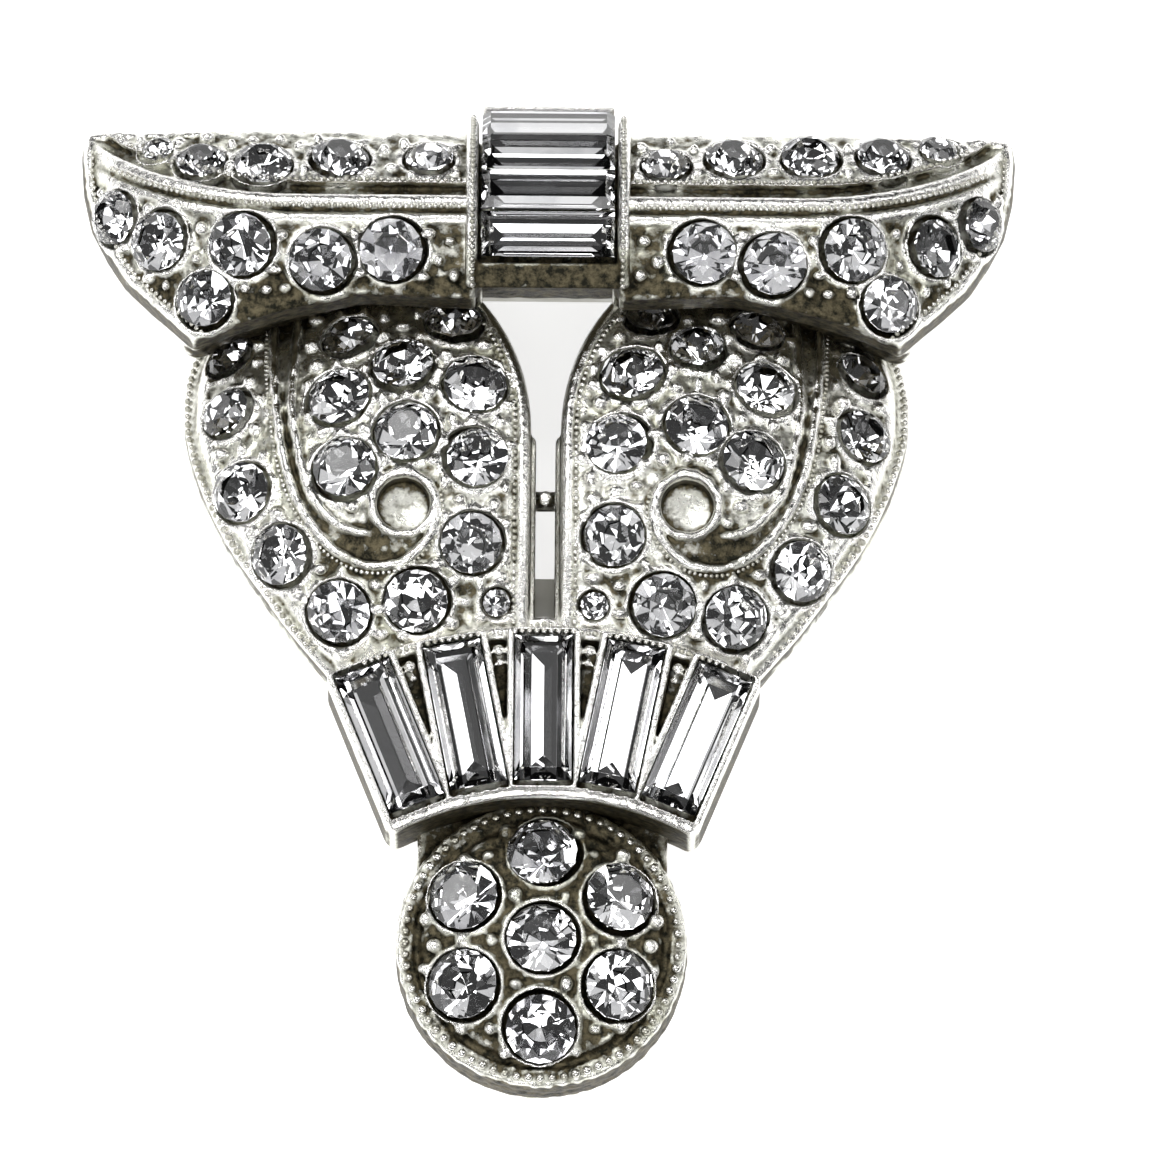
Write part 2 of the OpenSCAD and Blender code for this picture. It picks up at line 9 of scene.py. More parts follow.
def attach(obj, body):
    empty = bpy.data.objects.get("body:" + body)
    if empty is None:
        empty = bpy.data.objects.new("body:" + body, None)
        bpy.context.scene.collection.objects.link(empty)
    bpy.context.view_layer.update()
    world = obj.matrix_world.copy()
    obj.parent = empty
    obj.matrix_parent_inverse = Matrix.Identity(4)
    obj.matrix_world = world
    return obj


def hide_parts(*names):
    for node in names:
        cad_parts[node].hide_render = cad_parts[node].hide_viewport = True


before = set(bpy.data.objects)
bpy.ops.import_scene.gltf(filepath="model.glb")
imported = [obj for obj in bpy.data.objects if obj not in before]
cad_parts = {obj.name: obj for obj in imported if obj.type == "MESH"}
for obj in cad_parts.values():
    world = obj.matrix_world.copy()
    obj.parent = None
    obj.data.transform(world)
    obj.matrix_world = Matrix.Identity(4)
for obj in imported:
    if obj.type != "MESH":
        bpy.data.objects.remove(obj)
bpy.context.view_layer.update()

# Sizes are in millimetres and are turned into metres when a mesh is made. Places are measured from a line
# across the lobes' feet, as in the CAD source, and MID_Y then moves them to the shared frame.
MM = 0.001

WING_Z, WING_ROLL_START, WING_ROLL_R = 12.0, 12.0, 12.0
FRONT_LEAN, TOP_SLOPE = math.radians(5), math.radians(40)
TIP_SHARE = 0.35
RIDGE_Y, WING_TOP_Y = 18.8, 23.1
WING_WALL = 2.4
WING_EDGE = [
    (3.4, 14.2), (8.8, 14.4), (12.4, 13.6), (15, 12.9), (16.7, 12.3), (18.6, 14.1), (20, 15.6), (20.9, 17.1),
    (21.7, 18.8), (22.1, 20.6), (22.2, 22.2), (22, 23.5),
]
FRONT_STONES = [
    (7.4, 16.45, 3), (10.75, 15.95, 3), (14.5, 16.7, 3),
    (16.15, 14.25, 2.7), (18.35, 17.2, 2.8), (20.5, 18.75, 2.6),
]
TOP_STONES = {
    "left": [
        (5.65, 21.3, 2.3), (9.85, 21.25, 2.75), (13.5, 20.9, 2.75), (16.45, 21.1, 2.4), (18.5, 21.9, 1.5),
    ],
    "right": [
        (5.55, 21, 2.3), (8.8, 21.4, 2.75), (12.4, 21.55, 2.75), (15.85, 21.7, 2.5), (18.45, 22.3, 1.8),
    ],
}

BARREL_Y, BARREL_Z, BARREL_TABLE_R = 16.9, 4.0, 8.6
BARREL_L, BARREL_W = 6.3, 2.2
BARREL_ANGLES = [2.5, 19.0, 35.5, 52.0]
BARREL_FLOOR_R, POCKET_FLOOR_R = 5.6, 6.95
BARREL_GIRDLE_R = BARREL_TABLE_R - 0.23 * BARREL_W
POCKET_HALF_L, POCKET_HALF_W, FRONT_POCKET_HALF_W = 3.32, 1.2, 1.36
FLANGE_BEADS_X, FLANGE_BEADS_R = 3.57, 8.38
FLANGE_R, FLANGE_X = (5.6, 8.4), (3.33, 3.9)
BARREL_START, BARREL_END, BARREL_LIP = -16, 56, (61, 64)
BAR_Y, BAR_Z, BAR_HALF_L = (15.8, 20.6), 5.0, 4.4

LOBE_R, LOBE_WALL, LOBE_BACK_Z = 17.0, 1.9, 2.2
LOBE_CENTRE = (5.4, 4.1, -6.0)
LOBE_TOP_Y, LOBE_FOOT_Y = 15.6, -4.6
SLOT_HALF_W = 0.7
INNER_CIRCLE = (12.5, 8.2, 11.8)
LOBE_EDGE = [
    (15, 15.6), (16.5, 13.8), (17.1, 11.8), (17.2, 9.6), (17, 8.2), (16.6, 6.7), (16.05, 5.15), (15.35, 3.6),
    (14.45, 2.05), (13.4, 0.55), (12.35, -0.95), (11.15, -2.4), (9.2, -4.6),
]
SOCKET, SOCKET_R, SOCKET_DEPTH = (6.7, 4.4), 1.25, 1.3
SCROLL = [
    (12.45, 15.1), (12.5, 12.6), (12.4, 9.8), (12.05, 7.4), (11.45, 5.2), (10.45, 3.5), (9.1, 2.35), (7.6, 2),
]
SCROLL_OUTER = [
    (12.95, 15.3), (12.95, 12), (12.8, 9.9), (12.5, 7.4), (11.8, 4.9), (10.6, 2.9), (9.5, 1.9), (8.2, 1.4),
    (6.7, 1.6), (5.6, 2.6), (5.1, 3.9), (5.4, 5.2), (6.3, 5.9), (6.9, 6), (7.7, 5.6),
]
SCROLL_INNER = [
    (11.8, 14.8), (12, 11.5), (12.1, 9.8), (11.9, 8.2), (11.4, 5.7), (10.8, 4.5), (9.6, 3.3), (8.5, 3),
]
LOBE_STONES = {
    "left": [
        (4.45, 13.9, 2.7), (6.8, 11.5, 2.9), (3.4, 10.4, 3), (9.75, 9.8, 3), (9.4, 13.1, 2.6),
        (6.6, 7.9, 3), (3.25, 6.65, 2.9), (9.45, 6.2, 3), (3.5, 2.5, 2.9), (6.05, -0.2, 3),
        (9.65, -0.6, 3), (12.45, 2.2, 2.9), (14.3, 5.4, 2.9), (15.1, 9.6, 2.6), (15, 12.7, 2.3),
        (2.3, -0.2, 1.3),
    ],
    "right": [
        (5, 14.3, 2.5), (7.1, 12.6, 2.5), (4.05, 11.05, 3), (10.3, 10.5, 2.9), (10, 13.7, 2.5),
        (7.1, 8.35, 3), (3.35, 7.4, 2.9), (9.75, 6.7, 3), (3.3, 2.9, 2.9), (5.65, -0.3, 3),
        (9, -0.75, 3), (12.1, 1.6, 2.9), (14, 5, 2.9), (15, 8.6, 2.7), (14.9, 12, 2.5),
        (2.4, -0.3, 1.3),
    ],
}
SLOT_WALL_Y, SLOT_WALL_Z, SLOT_WALL = (-1.4, 8.0), 7.4, 0.25
BRIDGE_Y, BRIDGE_L, BRIDGE_Z = 5.2, 0.9, (7.6, 8.5)

FAN_Y, FAN_R, FAN_Z, FAN_STEP, FAN_COUNT = -24.3, 19.0, 10.4, 11.2, 5
FAN_BASE_Z, FAN_FOOT_Z, FAN_WALL, FAN_ARC_Z = 9.2, 5.6, 0.4, 10.2
FAN_UPPER, FAN_LOWER = (22.4, 23.05), (14.75, 15.6)
FAN_UPPER_REACH, FAN_LOWER_REACH = 22.4, 28.7
BAGUETTE_L, BAGUETTE_W = 7.0, 2.7

DISC_Y, DISC_R, DISC_RIM_Z, DISC_CROWN, DISC_FOOT_Z = -16.15, 6.85, 7.6, 1.5, 5.0
DISC_RIM_W, DISC_RING_R, DISC_STONE_D = 0.8, 4.2, 3.3
DISC_RIM_TOP_Z, DISC_BEADS_R, FAN_BEADS_R = DISC_RIM_Z + 0.3, 6.45, 22.75
NECK_HALF_W, NECK_Y, NECK_Z = 5.9, (-14.15, -9.6), 6.9

STONE_LIFT = 0.25
LARGE_GRID, BARREL_GRID, SLOT_GRID = 0.125, 0.11, 0.1
LOBE_KEEP, WING_KEEP = 0.7, 0.75
# painted shade: how much darker side walls in recesses are made
WALL_PAINTED_SHADE = 0.24
MID_Y = (BARREL_Y + BARREL_TABLE_R * math.sin(math.radians(BARREL_LIP[1])) + DISC_Y - DISC_R) / 2
SIDES = {"left": -1, "right": 1}


# Curves in plan
def smooth_curve(points, steps=4):
    """A smooth curve through the points, as an array of x, y."""
    p = np.array(points, float)
    out = []
    for i in range(len(p) - 1):
        a, b, c, d = p[max(i - 1, 0)], p[i], p[i + 1], p[min(i + 2, len(p) - 1)]
        for t in np.arange(steps) / steps:
            cubic = 3 * b - a - 3 * c + d
            out.append((2 * b + (c - a) * t + (2 * a - 5 * b + 4 * c - d) * t**2 + cubic * t**3) / 2)
    return np.array(out + [p[-1]])


def resample(points, pitch):
    """Points at equal steps along a curve, about pitch apart."""
    p = np.array(points, float)
    lengths = np.r_[0, np.cumsum(np.linalg.norm(np.diff(p, axis=0), axis=1))]
    places = np.linspace(0, lengths[-1], max(2, round(lengths[-1] / pitch) + 1))
    return np.stack([np.interp(places, lengths, p[:, k]) for k in range(p.shape[1])], axis=1)


def beside(points, distance):
    """The curve moved sideways, to its left for a positive distance."""
    p = np.array(points, float)
    along = np.gradient(p, axis=0)
    along /= np.linalg.norm(along, axis=1)[:, None]
    return p + distance * np.stack([-along[:, 1], along[:, 0]], axis=1)


def arc_points(r, middle_y, turns):
    """Points of a circle about 0, middle_y, each turned some radians past +Y."""
    return [(r * math.sin(a), middle_y + r * math.cos(a)) for a in turns]


def line_distance(points, x, y):
    """The distance in plan from each x, y to a curve."""
    best = np.full(np.broadcast(x, y).shape, 1e9)
    for (ax, ay), (bx, by) in zip(points[:-1], points[1:]):
        dx, dy = bx - ax, by - ay
        share = np.clip(((x - ax) * dx + (y - ay) * dy) / (dx * dx + dy * dy + 1e-12), 0, 1)
        best = np.minimum(best, (x - ax - share * dx) ** 2 + (y - ay - share * dy) ** 2)
    return np.sqrt(best)


def outline_distance(points, x, y):
    """The distance in plan to a closed outline, below zero inside it."""
    closed = list(points) + [points[0]]
    inside = np.zeros(np.broadcast(x, y).shape, bool)
    for (ax, ay), (bx, by) in zip(closed[:-1], closed[1:]):
        if ay != by:
            inside ^= ((ay > y) != (by > y)) & (x < ax + (y - ay) * (bx - ax) / (by - ay))
    return np.where(inside, -1, 1) * line_distance(closed, x, y)


# Heights of the front's surfaces over the plan, as in the CAD source
def roll(x):
    d = np.clip(np.abs(x) - WING_ROLL_START, 0, WING_ROLL_R - 0.8)
    return WING_ROLL_R - np.sqrt(WING_ROLL_R**2 - d**2)


def wing_front(x, y):
    return WING_Z - (RIDGE_Y - y) * math.tan(FRONT_LEAN) - roll(x) / math.cos(FRONT_LEAN)


def wing_top(x, y):
    return WING_Z - (y - RIDGE_Y) * math.tan(TOP_SLOPE) - TIP_SHARE * roll(x)


def wing_height(x, y):
    return np.minimum(wing_front(x, y), wing_top(x, y))


def ridge_line(x):
    drop = roll(x) * (1 / math.cos(FRONT_LEAN) - TIP_SHARE)
    return RIDGE_Y + drop / (math.tan(TOP_SLOPE) + math.tan(FRONT_LEAN))


def lobe_height(x, y):
    across = (np.abs(x) - LOBE_CENTRE[0]) ** 2 + (y - LOBE_CENTRE[1]) ** 2
    return LOBE_CENTRE[2] + np.sqrt(np.maximum(LOBE_R**2 - across, 1))


DISC_DOME_R = (DISC_R**2 + DISC_CROWN**2) / (2 * DISC_CROWN)
DISC_CENTRE_Z = DISC_RIM_Z + DISC_CROWN - DISC_DOME_R


def disc_height(x, y):
    across = np.asarray(x) ** 2 + (np.asarray(y) - DISC_Y) ** 2
    return DISC_CENTRE_Z + np.sqrt(np.maximum(DISC_DOME_R**2 - across, 1))


def on_barrel(x, r, a):
    """A place r from the barrel's axis and a past its top."""
    return Vector((x, BARREL_Y + r * math.sin(a), BARREL_Z + r * math.cos(a)))


def seat_on(height, x, y):
    """Where a thing stands on a surface: its place and the matrix that turns +Z to the normal."""
    step = 0.01
    sx = float(height(x + step, y) - height(x - step, y)) / (2 * step)
    sy = float(height(x, y + step) - height(x, y - step)) / (2 * step)
    turn = Euler((0, math.atan(math.hypot(sx, sy)), 0)).to_matrix()
    aim = Euler((0, 0, math.atan2(-sy, -sx))).to_matrix()
    return Vector((x, y, float(height(x, y)))), aim @ turn


# Solid fields: below zero inside the metal, in millimetres
def smooth_min(a, b, r):
    """Both solids, with the crease between them filled to about r."""
    h = np.maximum(r - np.abs(a - b), 0) / r
    return np.minimum(a, b) - h * h * r / 4


def smooth_max(a, b, r):
    """What both solids share, with the edge between them rounded to about r."""
    return -smooth_min(-a, -b, r)


def bump(distance, half_width):
    """A round bead in section: 1 at its middle and 0 from half_width outwards."""
    t = np.clip(np.abs(distance) / half_width, 0, 1)
    return np.sqrt(1 - t * t)


def ramp(value, start, end):
    """0 before start and 1 after end, smooth between."""
    t = np.clip((value - start) / (end - start), 0, 1)
    return t * t * (3 - 2 * t)


def lumps(seed, size, x, y, z=0.0):
    """Gentle random relief, about -1 to 1, with lumps of the size given."""
    rng = np.random.default_rng(seed)
    total = 0.0
    for _ in range(7):
        way = rng.normal(size=3)
        way *= rng.uniform(0.7, 1.5) * 2 * math.pi / size / np.linalg.norm(way)
        total = total + np.sin(way[0] * x + way[1] * y + way[2] * z + rng.uniform(0, 6.3))
    return total / 3.5


def box_field(x, y, z, lo, hi, r=0.15):
    parts = [np.maximum(a - v, v - b) for v, a, b in zip((x, y, z), lo, hi)]
    return smooth_max(smooth_max(parts[0], parts[1], r), parts[2], r)


def sample(volume, places):
    """The volume's values at places between its grid points."""
    base = np.floor(places).astype(int)
    part = places - base
    total = 0.0
    for corner in np.ndindex(2, 2, 2):
        weight = np.prod(np.where(corner, part, 1 - part), axis=1)
        total = total + weight * volume[tuple((base + corner).T)]
    return total


class Casting:
    """A block of metal kept as a field on a grid, with pits and grains worked into it."""

    def __init__(self, lo, hi, pitch, side=1):
        self.pitch, self.side = pitch, side
        self.axes = [np.arange(a - 2 * pitch, b + 3 * pitch, pitch) for a, b in zip(lo, hi)]
        self.x, self.y, self.z = np.meshgrid(*self.axes, indexing="ij", sparse=True)
        self.field = None

    def near(self, centre, reach):
        """The part of the grid within reach of a point."""
        spans = []
        for axis, c in zip(self.axes, centre):
            first, last = np.searchsorted(axis, (c - reach, c + reach))
            spans.append(slice(first, last))
        x, y, z = (a[s] for a, s in zip(self.axes, spans))
        offsets = (x - centre[0], y - centre[1], z - centre[2])
        return tuple(spans), np.meshgrid(*offsets, indexing="ij", sparse=True)

    def add_grain(self, centre, r, stretch=1.0, blend=0.12):
        """A grain of metal, run into what it stands on."""
        spans, (x, y, z) = self.near(centre, 1.4 * r + 0.4)
        ball = np.sqrt((x / stretch) ** 2 + (y * stretch) ** 2 + z * z) - r
        self.field[spans] = smooth_min(self.field[spans], ball, blend)

    def add_grains(self, height, places, seed):
        """Grains of uneven size and shape on a surface."""
        chance = np.random.default_rng(seed)
        for x, y, r in places:
            place, turn = seat_on(height, x + chance.normal(0, 0.05), y + chance.normal(0, 0.05))
            lift = Vector((0, 0, chance.uniform(-0.08, 0.16)))
            self.add_grain(place + turn @ lift, r * chance.uniform(0.8, 1.15), chance.uniform(0.82, 1.22))

    def add_seats(self, height, stones, seed):
        """A seat for each stone, cut a little off its middle so that a dark crescent shows."""
        chance = np.random.default_rng(seed)
        for x, y, d in stones:
            place, turn = seat_on(height, x, y)
            slip = Vector((chance.normal(0, 0.06), -0.07 + chance.normal(0, 0.06), 0))
            self.add_seat(place + turn @ slip, turn, d)

    def add_seat(self, place, turn, d, collar=0.09, spare=0.1):
        """A stone's seat: a soft collar round a pit along the surface's normal."""
        r = d / 2
        spans, (x, y, z) = self.near(place, r + 1.2)
        normal = turn @ Vector((0, 0, 1))
        s = x * normal[0] + y * normal[1] + z * normal[2]
        rho = np.sqrt(np.maximum(x * x + y * y + z * z - s * s, 0))
        ring = np.sqrt((rho - r - spare - collar) ** 2 + s * s) - collar
        pit = np.maximum(rho - r - spare, -(s + 0.42 * d - 0.75 * np.maximum(rho - 0.6 * r, 0)))
        field = smooth_min(self.field[spans], ring, 0.25)
        self.field[spans] = smooth_max(field, -np.where(s > -0.45 * d, pit, 1), 0.05)

    def hollow(self, reach=0.36):
        """How deep each grid point lies in a recess: the share of metal close round it."""
        metal = np.clip(0.5 - self.field / self.pitch, 0, 1).astype(np.float32)
        width = max(1, round(reach / self.pitch))
        for axis in range(3):
            spare = [(0, 0)] * 3
            spare[axis] = (width + 1, width)
            total = np.moveaxis(np.cumsum(np.pad(metal, spare), axis=axis, dtype=np.float32), axis, 0)
            metal = np.moveaxis((total[2 * width + 1:] - total[:-2 * width - 1]) / (2 * width + 1), 0, axis)
        return metal

    def close_ends(self):
        """Keeps the metal off the grid's ends, so that its surface is closed."""
        for axis in range(3):
            ends = [slice(None)] * 3
            ends[axis] = [0, -1]
            self.field[tuple(ends)] = np.maximum(self.field[tuple(ends)], 0.5 * self.pitch)

    def cuts(self, axis):
        """Where the surface cuts the grid's lines along an axis.

        Gives each cut's place in grid steps, the four cells round it, and if metal lies ahead of it."""
        field, inside = self.field, self.field < 0
        low, high = [slice(None)] * 3, [slice(None)] * 3
        low[axis], high[axis] = slice(0, -1), slice(1, None)
        found = np.argwhere(inside[tuple(low)] != inside[tuple(high)])
        here = tuple(found.T)
        there = list(here)
        there[axis] = there[axis] + 1
        f0, f1 = field[here], field[tuple(there)]
        places = found.astype(np.float32)
        places[:, axis] += f0 / (f0 - f1)
        cells = []
        for b, c in ((-1, -1), (0, -1), (0, 0), (-1, 0)):
            cell = found.copy()
            cell[:, (axis + 1) % 3] += b
            cell[:, (axis + 2) % 3] += c
            cells.append(np.ravel_multi_index(cell.T, field.shape))
        return places, np.stack(cells, axis=1), ~inside[here]

    def surface(self):
        """The closed surface where the field is zero: points, quads and how hollow each point lies.

        A cell that the surface passes through gets one point, at the mean of the cuts on its edges."""
        self.close_ends()
        size = self.field.size
        sums = np.zeros((size, 4), np.float32)
        faces = []
        for axis in range(3):
            places, quads, ahead = self.cuts(axis)
            for cells in quads.T:
                for k in range(3):
                    sums[:, k] += np.bincount(cells, places[:, k], size).astype(np.float32)
                sums[:, 3] += np.bincount(cells, minlength=size).astype(np.float32)
            quads[ahead] = quads[ahead][:, ::-1]
            faces.append(quads)
        used, quads = np.unique(np.concatenate(faces), return_inverse=True)
        places = sums[used, :3] / sums[used, 3:]
        hollow = sample(self.hollow(), places)
        points = places * self.pitch + [a[0] for a in self.axes]
        points[:, 0] *= self.side
        quads = quads.reshape(-1, 4)
        if self.side < 0:
            quads = quads[:, ::-1]
        return points, quads, hollow


# Meshes
def new_object(name, points, faces, materials, smooth=True, marks=None):
    """A mesh object from points in millimetres, measured as in the CAD source."""
    mesh = bpy.data.meshes.new(name)
    placed = (np.array(points, float) - [0, MID_Y, 0]) * MM
    mesh.from_pydata(placed.tolist(), [], [list(map(int, f)) for f in faces])
    for material in materials:
        mesh.materials.append(material)
    if marks is not None:
        mesh.polygons.foreach_set("material_index", np.array(marks, np.int32))
    mesh.polygons.foreach_set("use_smooth", np.full(len(mesh.polygons), smooth))
    mesh.validate()
    mesh.update()
    piece = bpy.data.objects.new(name, mesh)
    bpy.context.scene.collection.objects.link(piece)
    return piece


def cast_piece(name, casting, material, dirt_and_painted_light=(), keep=None):
    """The casting's surface as a softened piece, thinned out to the share kept if one is given.

    Side walls in recesses count as deeper than they are, which paints shade on them. The patches in
    dirt_and_painted_light hold dirt, painted shade and painted light; each is x, y, reach and amount."""
    points, quads, hollow = casting.surface()
    piece = new_object(name, points, quads, [material])
    normals = np.empty(3 * len(points), np.float32)
    piece.data.vertex_normals.foreach_get("vector", normals)
    # painted shade: side walls in recesses count as deeper, so they take the dark dirt colour
    hollow = hollow + WALL_PAINTED_SHADE * ramp(normals[2::3], 0.5, 0.05) * ramp(hollow, 0.36, 0.48)
    # patches made darker or lighter: dirt, painted shade and painted light
    for x, y, reach, amount in dirt_and_painted_light:
        away = np.hypot(points[:, 0] * casting.side - x, points[:, 1] - y)
        hollow = hollow + amount * ramp(away, reach, 0.3 * reach)
    layer = piece.data.attributes.new("hollow", "FLOAT", "POINT")
    layer.data.foreach_set("value", hollow.astype(np.float32))
    soften = piece.modifiers.new("Soften", "SMOOTH")
    soften.factor, soften.iterations = 0.5, 3
    if keep:
        thin = piece.modifiers.new("Thin out", "DECIMATE")
        thin.ratio = keep
    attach(piece, "root")
    return piece


class Pile:
    """Many small forms gathered into one mesh."""

    def __init__(self):
        self.points, self.faces, self.marks = [], [], []

    def add(self, points, faces, marks, place, turn, mirror=False):
        start = len(self.points)
        for p in points:
            q = place + turn @ Vector(p)
            self.points.append((-q[0] if mirror else q[0], q[1], q[2]))
        for face in faces:
            order = reversed(face) if mirror else face
            self.faces.append([start + k for k in order])
        self.marks += marks


def grain_form():
    """A low round grain, lying on its flat side."""
    ring = 7
    points = [(0, 0, 1.0)]
    for tilt, count in ((42, ring), (84, ring)):
        for k in range(count):
            a = 2 * math.pi * (k + tilt / 84) / count
            s, c = math.sin(math.radians(tilt)), math.cos(math.radians(tilt))
            points.append((s * math.cos(a), s * math.sin(a), c))
    points.append((0, 0, -0.9))
    faces = []
    for k in range(ring):
        n = (k + 1) % ring
        faces.append((0, 1 + k, 1 + n))
        faces.append((1 + k, 1 + ring + k, 1 + n))
        faces.append((1 + n, 1 + ring + k, 1 + ring + n))
        faces.append((1 + 2 * ring, 1 + ring + n, 1 + ring + k))
    return points, faces, [0] * len(faces)


GRAIN = grain_form()
rng = np.random.default_rng(7)


def add_beads(pile, line, height, r, pitch=None, lift=0.0, mirror=False):
    """A milgrain line: small grains along a curve on a surface."""
    for x, y in resample(line, pitch or 2.15 * r):
        place, turn = seat_on(height, float(x), float(y))
        size = r * rng.uniform(0.85, 1.12)
        lean = Euler((rng.normal(0, 0.12), rng.normal(0, 0.12), rng.uniform(0, 6))).to_matrix()
        stretch = Matrix.Diagonal((size, size, size * rng.uniform(0.8, 1.1)))
        pile.add(*GRAIN, place + turn @ Vector((0, 0, lift)), turn @ lean @ stretch, mirror)


# Stones
def ring_points(count, r, z, first=0.0):
    turns = [2 * math.pi * (k + first) / count for k in range(count)]
    return [(r * math.cos(turn), r * math.sin(turn), z) for turn in turns]


def chaton(d):
    """A round stone with its girdle at the origin. Marks are 0 on the crown and 1 on the foiled back."""
    r = d / 2
    table_r, star_r = 0.56 * r, 0.76 * r
    crown, girdle, depth = 0.17 * d, 0.015 * d, 0.4 * d
    half = math.cos(math.radians(22.5))
    star_z = girdle + crown * (r - star_r * half) / (r - table_r)
    points = ring_points(8, table_r, girdle + crown) + ring_points(8, star_r, star_z, 0.5)
    points += ring_points(16, r, girdle) + ring_points(16, r, -girdle)
    # the corners of the eight flat back facets dip below the girdle
    for k in range(32, 48, 2):
        points[k] = (points[k][0], points[k][1], -girdle - depth * (1 - half))
    points.append((0, 0, -girdle - depth))
    star, upper, lower, culet = 8, 16, 32, 48
    front, back = [list(range(8))], []
    for k in range(8):
        front.append((k, star + k, (k + 1) % 8))
        front.append((k, star + (k + 7) % 8, upper + 2 * k, star + k))
        front.append((star + k, upper + 2 * k, upper + 2 * k + 1))
        front.append((star + k, upper + 2 * k + 1, upper + (2 * k + 2) % 16))
        back.append((lower + 2 * k, culet, lower + (2 * k + 2) % 16, lower + 2 * k + 1))
    for k in range(16):
        n = (k + 1) % 16
        front.append((upper + k, lower + k, lower + n, upper + n))
    return points, front + back, [0] * len(front) + [1] * len(back)


def baguette(length, width):
    """A step-cut baguette, long in X, with its girdle at the origin."""
    def ring(inset, z):
        a, b = length / 2 - inset, width / 2 - inset
        return [(a, b, z), (-a, b, z), (-a, -b, z), (a, -b, z)]

    # each ring of the cut: its inset and height as shares of the width
    rings = [(0.18, 0.22), (0, 0.03), (0, -0.03), (0.1, -0.2), (0.27, -0.36)]
    points = [p for inset, z in rings for p in ring(inset * width, z * width)]
    keel = length / 2 - width / 2
    points += [(keel, 0, -0.45 * width), (-keel, 0, -0.45 * width)]
    faces, marks = [(0, 1, 2, 3)], [0]
    for step in range(len(rings) - 1):
        for k in range(4):
            n = (k + 1) % 4
            faces.append((4 * step + k, 4 * step + 4 + k, 4 * step + 4 + n, 4 * step + n))
            marks.append(1 if step > 1 else 0)
    faces += [(16, 20, 21, 17), (17, 21, 18), (18, 21, 20, 19), (19, 20, 16)]
    return points, faces, marks + [1] * 4


def tipped(amount=0.075):
    """A small random tilt, because no stone sits quite true."""
    return Euler((rng.normal(0, amount), rng.normal(0, amount), 0)).to_matrix()


def stone_piece(name, pile, nodes):
    materials = [MATERIALS["glass"], MATERIALS["foil"]]
    piece = new_object(name, pile.points, pile.faces, materials, False, pile.marks)
    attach(piece, "root")
    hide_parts(*nodes)


def round_stones(height, stones, step, mirror=False, first=1):
    """Round stones on a surface, each turned a step in degrees past the one before."""
    pile = Pile()
    for i, (x, y, d) in enumerate(stones, first):
        place, aim = seat_on(height, x, y)
        spin = Euler((0, 0, math.radians(step * i))).to_matrix()
        lift = aim @ Vector((0, 0, STONE_LIFT))
        pile.add(*chaton(d), place + lift, aim @ tipped() @ spin, mirror)
    return pile


def wing_stones(side):
    for kind, stones, step in (("front", FRONT_STONES, 19), ("top", TOP_STONES[side], 23)):
        pile = round_stones(wing_height, stones, step, SIDES[side] < 0)
        nodes = [f"{side}_wing_{kind}_stone_{i}" for i in range(1, len(stones) + 1)]
        stone_piece(f"{side}_wing_{kind}_cut_stones", pile, nodes)


def lobe_stones(side):
    pile = round_stones(lobe_height, LOBE_STONES[side], 17, SIDES[side] < 0, first=0)
    stone_piece(f"{side}_lobe_cut_stones", pile, [f"{side}_lobe_stones"])


def disc_places():
    """The disc's stones: one in its middle and six round it."""
    ring = arc_points(DISC_RING_R, DISC_Y, [math.radians(60 * i) for i in range(6)])
    return [(x, y, DISC_STONE_D) for x, y in [(0, DISC_Y)] + ring]


def fan_angle(i):
    """The turn of fan baguette i about FAN_Y, in radians past +Y."""
    return math.radians(FAN_STEP * (i - (FAN_COUNT + 1) / 2))


def fan_baguettes():
    pile = Pile()
    for i in range(1, FAN_COUNT + 1):
        angle = fan_angle(i)
        turn = Euler((0, 0, math.pi / 2 - angle)).to_matrix()
        place = Vector((FAN_R * math.sin(angle), FAN_Y + FAN_R * math.cos(angle), FAN_Z))
        pile.add(*baguette(BAGUETTE_L, BAGUETTE_W), place, turn @ tipped(0.015))
    stone_piece("fan_cut_baguettes", pile, [f"fan_baguette_{i}" for i in range(1, FAN_COUNT + 1)])


def barrel_baguettes():
    pile = Pile()
    for angle in BARREL_ANGLES:
        a = math.radians(angle)
        turn = Euler((-a, 0, 0)).to_matrix()
        pile.add(*baguette(BARREL_L, BARREL_W), on_barrel(0, BARREL_GIRDLE_R, a), turn @ tipped(0.006))
    stone_piece("barrel_cut_baguettes", pile, [f"barrel_baguette_{i}" for i in range(1, 5)])


def build_stones():
    for side in SIDES:
        wing_stones(side)
        lobe_stones(side)
    pile = round_stones(disc_height, disc_places(), 13)
    stone_piece("disc_cut_stones", pile, [f"disc_stone_{i}" for i in range(1, 8)])
    fan_baguettes()
    barrel_baguettes()


# Sculpting the casting
def gap_places(stones, allowed, lo, hi, nearest=0.17, widest=0.36, spacing=1.0):
    """Places for grains in the gaps between stones: x, y and radius, the widest gaps first."""
    x, y = np.meshgrid(np.arange(lo[0], hi[0], 0.1), np.arange(lo[1], hi[1], 0.1), indexing="ij")
    room = np.full(x.shape, 9.0)
    for sx, sy, d in stones:
        room = np.minimum(room, np.hypot(x - sx, y - sy) - d / 2)
    room = np.minimum(room, allowed(x, y))
    places = []
    while len(places) < 80:
        k = np.unravel_index(np.argmax(np.where(room < 0.75, room, 0)), room.shape)
        if room[k] < nearest:
            return places
        places.append((x[k], y[k], min(widest, room[k] + 0.08)))
        room = np.where(np.hypot(x - x[k], y - y[k]) < spacing, 0, room)
    return places


